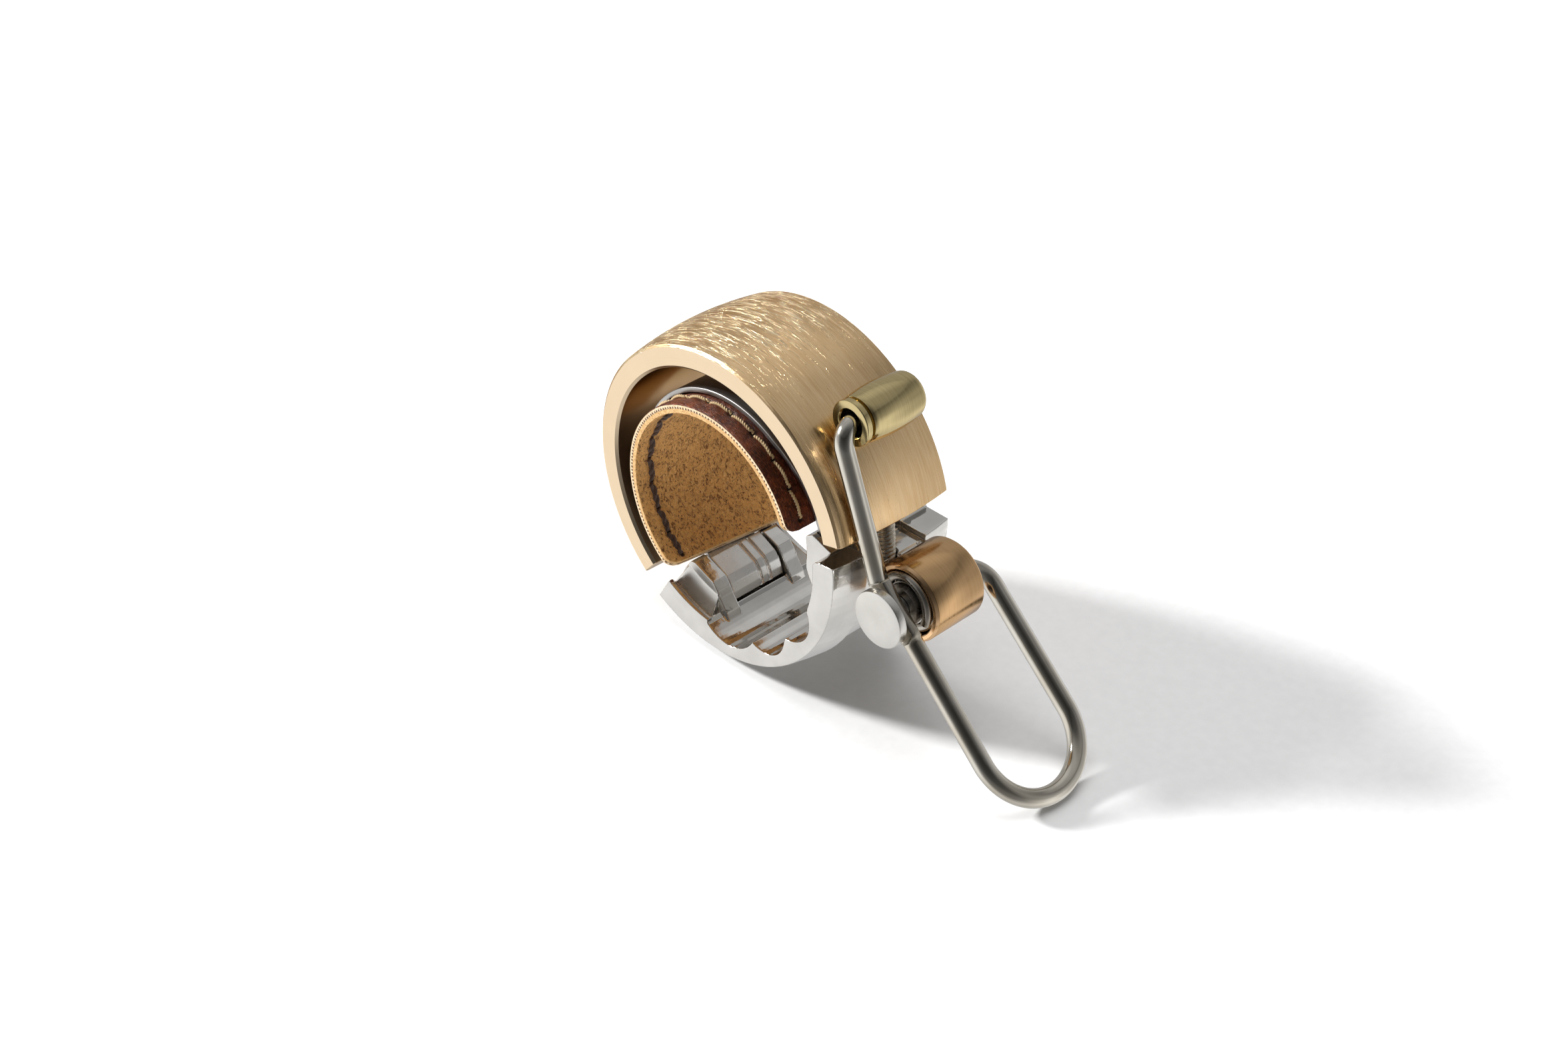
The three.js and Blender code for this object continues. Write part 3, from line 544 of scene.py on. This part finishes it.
def turn(name, rings, materials, centre=ORIGIN, closed=False, zone=None, smooth_angle=35.0, skew=None):
    """Skins (angle, outline) rings. Every outline has the same number of (radius, y) points.

    zone gives the material's index for the face between two points of an outline, or for an end's cap.
    skew gives a point's angle from its ring's angle and its y.
    """
    count, verts, faces, zones = len(rings[0][1]), [], [], []
    for ring_angle, outline in rings:
        for r, y in outline:
            angle = math.radians(skew(ring_angle, y) if skew else ring_angle)
            x, z = r * math.cos(angle) * MM, r * math.sin(angle) * MM
            verts.append((centre[0] + x, y * MM, centre[1] + z))
    last = len(rings) if closed else len(rings) - 1
    for i in range(last):
        for j in range(count):
            a, b = i * count + j, i * count + (j + 1) % count
            step = ((i + 1) % len(rings)) * count - i * count
            faces.append((a, b, b + step, a + step))
            zones.append(zone(rings[i][1][j], rings[i][1][(j + 1) % count]) if zone else 0)
    if not closed:
        end = (len(rings) - 1) * count
        faces.append(tuple(range(count - 1, -1, -1)))
        faces.append(tuple(end + j for j in range(count)))
        cap = zone(None, None) if zone else 0
        zones += [cap, cap]
    return new_piece(name, verts, faces, materials, zones, smooth_angle)


def counter_clockwise(outline):
    area = sum(a[0] * b[1] - b[0] * a[1] for a, b in zip(outline, outline[1:] + outline[:1]))
    return outline if area > 0 else outline[::-1]


def full_turn(name, outline, materials, centre, steps, zone=None, smooth_angle=35.0):
    outline = counter_clockwise(outline)
    rings = [(360 * i / steps, outline) for i in range(steps)]
    return turn(name, rings, materials, centre, True, zone, smooth_angle)


def swept(name, path, section, sides, materials, smooth_angle=60.0):
    """Skins a path. section(point, way) gives the skin's offset from a point along a way round it."""
    verts, faces = [], []
    tangent = (path[1] - path[0]).normalized()
    side = tangent.orthogonal().normalized()
    for i, point in enumerate(path):
        ahead = path[min(i + 1, len(path) - 1)] - path[max(i - 1, 0)]
        turn_by = tangent.rotation_difference(ahead.normalized())
        side.rotate(turn_by)
        tangent = ahead.normalized()
        side = (side - tangent * side.dot(tangent)).normalized()
        other = tangent.cross(side)
        for k in range(sides):
            a = 2 * math.pi * k / sides
            way = side * math.cos(a) + other * math.sin(a)
            verts.append(tuple((point + section(point, way)) * MM))
    for i in range(len(path) - 1):
        for j in range(sides):
            a, b = i * sides + j, i * sides + (j + 1) % sides
            faces.append((a, b, b + sides, a + sides))
    end = (len(path) - 1) * sides
    faces.append(tuple(range(sides - 1, -1, -1)))
    faces.append(tuple(end + j for j in range(sides)))
    return new_piece(name, verts, faces, materials, None, smooth_angle)


def finish_piece(piece, node, body):
    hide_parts(node)
    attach(piece, body)
    return piece


def polar(radius, degrees, y=0.0):
    return Vector((radius * math.cos(math.radians(degrees)), y, radius * math.sin(math.radians(degrees))))


def extent_mm(node):
    low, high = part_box(node)
    return Vector(low) / MM, Vector(high) / MM


# ---------------------------------------------------------------- chime
CROWN_RADIUS, CROWN_Y, BELL_CROWN, BELL_BORE = 41.0, 0.7, 18.82, 15.55
BELL_FROM, BELL_TO, BELL_EDGE, BELL_BORE_EDGE = 14.0, 229.7, 0.22, 0.28


def crown(y):
    """The chime's outer radius: widest just behind its middle."""
    return BELL_CROWN - CROWN_RADIUS + math.sqrt(CROWN_RADIUS ** 2 - (y - CROWN_Y) ** 2)


def make_bell():
    half = extent_mm("bell_ring")[1].y
    rows, steps = 28, 260
    edge, bore_edge = BELL_EDGE, BELL_BORE_EDGE
    outline = [(BELL_BORE + bore_edge, -half), (crown(-half) - edge, -half)]
    for i in range(rows + 1):
        y = -half + edge + (2 * half - 2 * edge) * i / rows
        outline.append((crown(y), y))
    outline += [(crown(half) - edge, half), (BELL_BORE + bore_edge, half)]
    outline += [(BELL_BORE, half - bore_edge), (BELL_BORE, -half + bore_edge)]
    outline = counter_clockwise(outline)
    rings = [(BELL_FROM + (BELL_TO - BELL_FROM) * i / steps, outline) for i in range(steps + 1)]
    brass, pale = (0.78, 0.52, 0.265), (0.96, 0.71, 0.42)
    materials = [
        # Round 108 degrees, where the key light glints off the brushing, the nicks carry a painted highlight.
        brushed("bell_brushed", brass, pale, 0.24, ORIGIN, COLLAR_SEAM, 9, 3.2, 18.4, 0.8, 0.5,
                (-0.2, 0.4, 0.95), (0.62, 0.5, 0.4)),
        turned_face("bell_face", (0.80, 0.635, 0.44), 0.24),
        # Painted shade: the bore's brass is darker, with a duller edge tint, than the same brass outside.
        turned_face("bell_bore_painted_shade", (0.55, 0.38, 0.23), 0.2, rings_per_mm=5, strength=0.3,
                    edge_tint=(0.4, 0.33, 0.26)),
    ]

    def zone(a, b):
        if a is None:
            return 1
        if max(a[0], b[0]) <= BELL_BORE + 0.01:
            return 2
        return 0 if min(a[0], b[0]) > 17.6 and abs(a[1] - b[1]) > 0.01 else 1

    piece = turn("bell_ring_shell", rings, materials, zone=zone)
    bevel = piece.modifiers.new("edge", "BEVEL")
    bevel.width, bevel.segments, bevel.limit_method = 0.12 * MM, 2, "ANGLE"
    bevel.angle_limit = math.radians(50)
    finish_piece(piece, "bell_ring", "clamp")


# ---------------------------------------------------------------- lever wire
WIRE_RADIUS, WIRE_FRONT, WIRE_REAR = 1.0, -5.3, 7.0
KINK, LOOP_ANGLE, LOOP_STRAIGHT = (20.7, 1.3), -44.5, 20.2
HAMMER_AXIS = (15.1, 16.0)
LOOP_STEPS, HAMMER_BEND, KINK_BEND, REAR_BEND = 72, 2.1, 1.5, 3.0
PRESS_HALF, PRESS_WIDE, PRESS_REACH, PRESS_FADE = 0.5, 1.16, 3.1, 0.22


def bend(corners, radii):
    """Points along straight runs whose corners are rounded by arcs."""
    step = 0.25
    path = [corners[0]]

    def run_to(point):
        start = path[-1]
        parts = max(1, round((point - start).length / step))
        path.extend(start.lerp(point, k / parts) for k in range(1, parts + 1))

    for corner, before, after, radius in zip(corners[1:-1], corners, corners[2:], radii):
        back, ahead = (before - corner).normalized(), (after - corner).normalized()
        half = back.angle(ahead) / 2
        centre = corner + (back + ahead).normalized() * (radius / math.sin(half))
        reach = radius / math.tan(half)
        start, end = corner + back * reach, corner + ahead * reach
        run_to(start)
        spoke, sweep = start - centre, (start - centre).angle(end - centre)
        axis = spoke.cross(end - centre).normalized()
        parts = max(4, round(radius * sweep / step))
        for k in range(1, parts + 1):
            turned = spoke.copy()
            turned.rotate(Quaternion(axis, sweep * k / parts))
            path.append(centre + turned)
    run_to(corners[-1])
    return path


def wire_path():
    """From the hammer's far end, down the lever, round the finger loop and back into the hub."""
    kink = Vector((KINK[0], WIRE_FRONT, KINK[1]))
    along = polar(1, LOOP_ANGLE)
    radius = (WIRE_REAR - WIRE_FRONT) / 2
    leg_end = kink + along * LOOP_STRAIGHT
    pivot = Vector((PIVOT[0] / MM, WIRE_REAR, PIVOT[1] / MM))
    hammer = Vector((HAMMER_AXIS[0], WIRE_FRONT, HAMMER_AXIS[1]))
    first = bend([hammer + UP_Y * 9, hammer, kink, leg_end], [HAMMER_BEND, KINK_BEND])
    centre = leg_end + UP_Y * radius
    loop = [centre - UP_Y * radius * math.cos(a) + along * radius * math.sin(a)
            for a in (math.pi * k / LOOP_STEPS for k in range(1, LOOP_STEPS))]
    rear_start = leg_end + UP_Y * 2 * radius
    rear = bend([rear_start, pivot, pivot - UP_Y * 6.6], [REAR_BEND])
    return first + loop + rear


def make_wire():
    """The wire is pressed flat and a little wider where the pivot pin goes through it."""
    pivot = Vector((PIVOT[0] / MM, WIRE_FRONT, PIVOT[1] / MM))
    along = polar(1, LOOP_ANGLE)

    def section(point, way):
        offset = WIRE_RADIUS * way
        reach = abs((point - pivot).dot(along))
        on_plate = point.y < WIRE_FRONT + 0.3 and (point - pivot).length < 5.5
        press = 1 - min(1.0, max(0.0, (reach - PRESS_REACH) / PRESS_FADE)) if on_plate else 0.0
        press = press * press * (3 - 2 * press)
        if press == 0:
            return offset
        thick = offset.dot(UP_Y)
        flat = offset - UP_Y * thick
        limit = WIRE_RADIUS + (PRESS_HALF - WIRE_RADIUS) * press
        wide = 1 + (PRESS_WIDE / WIRE_RADIUS - 1) * press
        return flat * wide + UP_Y * max(-limit, min(limit, thick * (1 + press)))

    nickel = drawn_wire("wire_nickel", (0.64, 0.61, 0.545), 0.12)
    piece = swept("lever_wire_bent", wire_path(), section, 28, [nickel], 40)
    finish_piece(piece, "lever_wire", "lever")


# ---------------------------------------------------------------- turned pieces
# Outlines of solid pieces stop this close to the axis, so that no two points fall together.
AXIS_GAP = 0.001


def make_hammer():
    """A barrel with a grooved collar in front and a rounded end behind."""
    low, high = extent_mm("hammer")
    front, back = low.y, high.y
    length = back - front
    collar, belly, neck, tail, bore = 2.4, 2.72, 2.2, 2.25, 1.45
    wall_from, wall_share, rows = 0.15, 0.74, 40

    def swell(t):
        edge = neck if t < 0.5 else tail
        return edge + (belly - edge) * math.sin(math.pi * t) ** 0.85

    shares = [wall_from + wall_share * i / rows for i in range(rows + 1)]
    wall = [(swell(t), front + t * length) for t in shares]
    tail_end = [(wall[-1][0] - 1.0 * (1 - math.cos(a)), back - 0.92 + 0.92 * math.sin(a))
                for a in (math.pi / 2 * k / 8 for k in range(1, 9))]
    outline = [(bore, front + 4), (bore, front + 0.2), (bore + 0.1, front + 0.06), (bore + 0.16, front)]
    outline += [(collar - 0.14, front), (collar - 0.06, front + 0.03), (collar - 0.01, front + 0.1)]
    outline += [(collar, front + 0.2), (collar, front + 0.62), (collar - 0.05, front + 0.7)]
    outline += [(collar - 0.34, front + 0.74), (collar - 0.34, front + 0.98)]
    outline.append((wall[0][0] - 0.1, front + 1.04))
    outline += wall + tail_end + [(AXIS_GAP, back), (AXIS_GAP, front + 4)]
    centre = (HAMMER_AXIS[0] * MM, HAMMER_AXIS[1] * MM)
    skin = brushed("hammer_satin", (0.50, 0.405, 0.20), (0.60, 0.49, 0.255), 0.15, centre, 200, 7, 6.0, 2.6,
                   0.04, 0.2)
    piece = full_turn("hammer_barrel", outline, [skin], centre, 128, smooth_angle=28)
    finish_piece(piece, "hammer", "lever")


def make_sleeve():
    """A tube with a wide chamfer at each end."""
    half = extent_mm("spring_sleeve")[1].y
    outer, bore, edge = 4.25, 3.55, 0.26
    outline = [(bore + 0.1, -half), (outer - edge, -half)]
    outline += [(outer - 0.04, -half + edge - 0.02), (outer, -half + edge + 0.06)]
    outline += [(outer, half - edge - 0.06), (outer - 0.04, half - edge + 0.02), (outer - edge, half)]
    outline += [(bore + 0.1, half), (bore, half - 0.1), (bore, -half + 0.1)]
    copper, pale = (0.56, 0.345, 0.165), (0.64, 0.41, 0.21)
    skin = brushed("sleeve_satin", copper, pale, 0.18, PIVOT, 180, 10, 14.0, 4.2, 0.05)
    face = turned_face("sleeve_face", (0.90, 0.58, 0.32), 0.2, PIVOT, 180)

    def zone(a, b):
        return 0 if min(a[0], b[0]) > outer - 0.05 else 1

    piece = full_turn("spring_sleeve_tube", outline, [skin, face], PIVOT, 180, zone)
    finish_piece(piece, "spring_sleeve", "clamp")


def make_pin():
    """A flat head with softened edges, a collar against the wire, a neck through it and a journal."""
    low, high = extent_mm("pivot_pin")
    front, back = low.y, high.y
    head, collar, neck, journal = 3.05, 1.5, 0.8, 1.25
    under_head, under_collar, journal_from = front + 1.0, front + 1.45, front + 2.6
    outline = [(AXIS_GAP, front), (head - 0.16, front), (head - 0.05, front + 0.04), (head, front + 0.14)]
    outline += [(head, under_head - 0.12), (head - 0.12, under_head), (collar, under_head)]
    outline += [(collar, under_collar), (neck, under_collar), (neck, journal_from)]
    outline += [(journal, journal_from), (journal, back), (AXIS_GAP, back)]
    skin = cast_metal("pin_blasted", (0.67, 0.65, 0.61), 0.27, 5200, 0.22, 0.2, face=0.42)
    piece = full_turn("pivot_pin_turned", outline, [skin], PIVOT, 140)
    finish_piece(piece, "pivot_pin", "lever")


def make_spring():
    mean, wire, start, pitch, turns, phase = 2.93, 0.5, -3.55, 1.15, 3.05, -18.0
    parts, sides = 260, 16
    centre = Vector((PIVOT[0] / MM, 0, PIVOT[1] / MM))
    path = [centre + polar(mean, phase + 360 * turns * k / parts, start + pitch * turns * k / parts)
            for k in range(parts + 1)]
    steel = drawn_wire("spring_drawn", (0.46, 0.43, 0.39), 0.25)
    piece = swept("return_spring_coil", path, lambda _point, way: wire * way, sides, [steel])
    finish_piece(piece, "return_spring", "clamp")


def make_stud():
    """Right-hand thread: the ridge climbs one pitch for each turn round the stud."""
    foot, lean, length = Vector((16.6, 0, -1.98)), 95.0, 8.0
    pitch, radius, depth = 0.48, 1.15, 0.2
    axis = polar(1, lean)
    side, other = UP_Y, axis.cross(UP_Y)
    around, rows = 32, 120
    verts, faces = [], []
    for i in range(rows + 1):
        height = length * i / rows
        for k in range(around):
            share = (height / pitch - k / around) % 1.0
            r = radius - depth * abs(2 * share - 1) ** 1.2
            a = 2 * math.pi * k / around
            out = side * math.cos(a) + other * math.sin(a)
            verts.append(tuple((foot + axis * height + r * out) * MM))
    for i in range(rows):
        for k in range(around):
            a, b = i * around + k, i * around + (k + 1) % around
            faces.append((a, a + around, b + around, b))
    faces.append(tuple(range(around)))
    faces.append(tuple(rows * around + k for k in range(around - 1, -1, -1)))
    steel = drawn_wire("stud_steel", (0.62, 0.57, 0.49), 0.24)
    piece = new_piece("bell_stud_thread", verts, faces, [steel], None, 50)
    finish_piece(piece, "bell_stud", "clamp")


# ---------------------------------------------------------------- cast bracket
CASTING_VOXEL_MM = 0.09


def make_casting(node, name, material):
    """A casting's edges and corners are softened by remeshing a copy of its solid finely."""
    source = frame["nodes"][node]
    piece = source.copy()
    piece.data = source.data.copy()
    for key in list(piece.keys()):
        del piece[key]
    piece.parent = None
    piece.name = piece.data.name = name
    bpy.context.scene.collection.objects.link(piece)
    piece.data.remesh_voxel_size = CASTING_VOXEL_MM * MM
    piece.data.remesh_voxel_adaptivity = 0
    with bpy.context.temp_override(object=piece, active_object=piece, selected_objects=[piece]):
        bpy.ops.object.voxel_remesh()
    soften = piece.modifiers.new("soften", "SMOOTH")
    soften.factor, soften.iterations = 0.5, 4
    piece.data.materials.clear()
    piece.data.materials.append(material)
    piece.data.shade_smooth()
    return piece


def make_castings():
    silver = cast_metal("bracket_cast", (0.70, 0.68, 0.645), 0.23, 2400, 0.3, face=0.38,
                        polished_inside_mm=17.2)
    bracket = make_casting("bracket", "bracket_casting", silver)
    finish_piece(bracket, "bracket", "clamp")
    bright = cast_metal("buckle_cast", (0.80, 0.785, 0.75), 0.24, 1500, 0.2)
    buckle = make_casting("strap_buckle", "strap_buckle_casting", bright)
    finish_piece(buckle, "strap_buckle", "clamp")


# ---------------------------------------------------------------- leather collar
BAR_RADIUS, LINING_OUTER, COVER_INNER, COVER_OUTER = 11.1, 11.66, 11.68, 12.2
LEATHER_FROM, LEATHER_TO, LEATHER_HALF, CORNER = 17.0, 240.4, 8.6, 1.3
# Degrees of lean for each mm of width at the left end, and the angles between which it grows.
END_SKEW, SKEW_FROM, SKEW_TO = 0.4, 205.0, 240.0
PORE_PITCH = 0.42
SEAM_FRONT, SEAM_REAR, STITCH_MM, SEAM_FROM, SEAM_TO = -6.65, 7.3, 3.4, 21.0, 237.0


def stitch_ends():
    """Angles where the thread passes through the leather."""
    count = round(math.radians(SEAM_TO - SEAM_FROM) * COVER_OUTER / STITCH_MM)
    return [SEAM_FROM + (SEAM_TO - SEAM_FROM) * i / count for i in range(count + 1)]


def leather_layer(name, inner, outer, skin, edge, skin_outside, rumple):
    """One layer of the collar: a band with rounded corners, cut edges, and a dimple at each stitch hole."""
    holes = stitch_ends()
    steps, rows = 330, 112
    arc = math.radians(LEATHER_TO - LEATHER_FROM) * outer
    skin_r, back_r = (outer, inner) if skin_outside else (inner, outer)
    rings = []
    for i in range(steps + 1):
        angle = LEATHER_FROM + (LEATHER_TO - LEATHER_FROM) * i / steps
        to_end = min(i, steps - i) * arc / steps
        inset = CORNER - math.sqrt(max(0.0, CORNER ** 2 - max(0.0, CORNER - to_end) ** 2))
        half = LEATHER_HALF - inset
        points = []
        for k in range(rows + 1):
            y = half * (2 * k / rows - 1)
            points.append((skin_r + relief(angle, y, half, holes, skin_outside, rumple), y))
        points += [(back_r, half), (back_r, half / 3), (back_r, -half / 3), (back_r, -half)]
        rings.append((angle, points if skin_outside else points[::-1]))

    def zone(a, b):
        if a is None:
            return 1
        return 1 if abs(a[0] - b[0]) > 0.3 and abs(a[1] - b[1]) < 0.01 else 0

    return turn(name, rings, [skin, edge], zone=zone, smooth_angle=50, skew=end_skew)


def end_skew(angle, y):
    """The left end of the leather is cut on the skew: the far side reaches further round."""
    share = min(1.0, max(0.0, (angle - SKEW_FROM) / (SKEW_TO - SKEW_FROM)))
    return angle + END_SKEW * y * share * share * (3 - 2 * share)


def relief(angle, y, half, holes, outside, rumple):
    """Height of the leather's face over its plain radius. It only ever goes into the leather."""
    spot = polar(12, angle, y)
    wave = noise.noise(spot * 0.9) * 0.6 + noise.noise(spot * 2.7 + Vector((7, 3, 1))) * 0.4
    depth = rumple * (0.5 + 0.5 * wave)
    near_edge = max(0.0, 1 - (half - abs(y)) / 0.25)
    depth += 0.1 * near_edge ** 2
    across = min(abs(y - SEAM_FRONT), abs(y - SEAM_REAR))
    if across < 1.0:
        along = min(abs(angle - hole) for hole in holes) * math.radians(COVER_OUTER)
        depth += 0.16 * math.exp(-((across / 0.32) ** 2 + (along / 0.4) ** 2))
        depth += 0.05 * math.exp(-(across / 0.3) ** 2)
    return -depth if outside else depth


def stitches(name, y, radius, direction, ply, lift, twists, material):
    """Separate stitches of two twisted plies, each diving into the leather at its ends."""
    holes = stitch_ends()
    verts, faces = [], []
    sides, parts, buried = 8, 30, 0.28
    rng = random.Random(round(abs(y * 100 + radius * 10)))
    for first, second in zip(holes, holes[1:]):
        sway = rng.uniform(-0.06, 0.06)
        for strand in (0, math.pi):
            start = len(verts)
            for k in range(parts + 1):
                t = k / parts
                hump = math.sin(math.pi * t) ** 0.6 if 0 < t < 1 else 0.0
                r = radius + direction * (lift * hump - buried * (1 - hump))
                angle = first + (second - first) * (0.03 + 0.94 * t)
                turned = end_skew(angle, y)
                kink = 0.2 * math.exp(-((t - 0.06) / 0.07) ** 2)
                aside = sway * math.sin(math.pi * t) - math.copysign(kink, y) * direction
                middle = polar(r, turned, y + aside)
                out, spin = polar(1, turned), strand + 2 * math.pi * twists * t
                centre = middle + 0.6 * ply * (out * math.cos(spin) + UP_Y * math.sin(spin))
                verts += [tuple((centre + ply * (out * math.cos(a) + UP_Y * math.sin(a))) * MM)
                          for a in (2 * math.pi * j / sides for j in range(sides))]
            for k in range(parts):
                for j in range(sides):
                    a, b = start + k * sides + j, start + k * sides + (j + 1) % sides
                    faces.append((a, b, b + sides, a + sides))
            end = start + parts * sides
            faces.append(tuple(start + j for j in range(sides - 1, -1, -1)))
            faces.append(tuple(end + j for j in range(sides)))
    return new_piece(name, verts, faces, [material], None, 80)


def make_leather():
    cream = cut_edge("cover_edge", (0.90, 0.74, 0.53), (0.66, 0.44, 0.23), 11.76)
    gold = cut_edge("lining_edge", (0.82, 0.56, 0.27), (0.50, 0.25, 0.075))
    grain, flesh = grain_leather("cover_grain"), suede("lining_suede")
    cover = leather_layer("leather_cover_band", COVER_INNER, COVER_OUTER, grain, cream, True, 0.05)
    finish_piece(cover, "leather_cover", "clamp")
    lining = leather_layer("leather_lining_band", BAR_RADIUS, LINING_OUTER, flesh, gold, False, 0.03)
    finish_piece(lining, "leather_lining", "clamp")
    gold_thread = thread_fibre("thread_gold", (0.80, 0.62, 0.34), (0.42, 0.26, 0.11))
    dark_thread = thread_fibre("thread_dark", (0.11, 0.052, 0.03), (0.02, 0.009, 0.005))
    for end, y in (("front", SEAM_FRONT), ("rear", SEAM_REAR)):
        outside = stitches(f"stitches_{end}_outside", y, COVER_OUTER, 1, 0.12, 0.12, 5.2, gold_thread)
        finish_piece(outside, f"thread_{end}", "clamp")
        inside = stitches(f"stitches_{end}_inside", y, BAR_RADIUS, -1, 0.22, 0.07, 1.25, dark_thread)
        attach(inside, "clamp")


# ---------------------------------------------------------------- strap
def make_strap():
    """A band that tapers towards its riveted right end and narrows to a tongue at its left end."""
    half = extent_mm("strap")[1].y
    inner, outer, tongue = 12.35, 12.9, 3.2
    start, narrow, stop = -8.0, 235.5, 247.0
    boss_half, taper_from, taper_to = 5.0, 12.0, 58.0
    rings = []
    steps = 300
    for i in range(steps + 1):
        angle = start + (stop - start) * i / steps
        share = min(1.0, max(0.0, (narrow - angle) / 3.0))
        taper = min(1.0, max(0.0, (angle - taper_from) / (taper_to - taper_from)))
        wide = boss_half + (half - boss_half) * taper
        y = tongue + (wide - tongue) * math.sqrt(share)
        corners = [(inner, -y), (outer, -y), (outer, y), (inner, y)]
        rings.append((angle, round_corners(corners, 0.1, 3)))
    dark, pale = (0.46, 0.45, 0.44), (0.64, 0.63, 0.62)
    steel = brushed("strap_steel", dark, pale, 0.42, ORIGIN, COLLAR_SEAM, 6, 4.0, 12.7, 0.3, 0.2)
    piece = turn("strap_band", rings, [steel], smooth_angle=40)
    finish_piece(piece, "strap", "clamp")


# ---------------------------------------------------------------- pieces whose CAD shape stays
def dress_cad_nodes():
    washer = drawn_wire("washer_steel", (0.52, 0.51, 0.50), 0.28)
    looks = {
        "strap_rivet": washer, "clamp_washer": washer, "thrust_washer": washer,
        "rear_washer": washer, "retaining_clip": washer,
        "clamp_screw": drawn_wire("screw_steel", (0.44, 0.44, 0.44), 0.3),
        "pivot_bush_front": drawn_wire("bush_bronze", (0.55, 0.37, 0.18), 0.35),
        "hammer_bush": moulded("liner_black", (0.015, 0.015, 0.015)),
    }
    looks["pivot_bush_rear"] = looks["pivot_bush_front"]
    for name, material in looks.items():
        mesh = frame["nodes"][name].data
        mesh.materials.clear()
        mesh.materials.append(material)
        mesh.shade_smooth()
        mesh.set_sharp_from_angle(angle=math.radians(35))


add_camera()
add_floor()
add_lights()
make_bell()
make_stud()
make_leather()
make_strap()
make_castings()
make_sleeve()
make_spring()
make_pin()
make_wire()
make_hammer()
dress_cad_nodes()
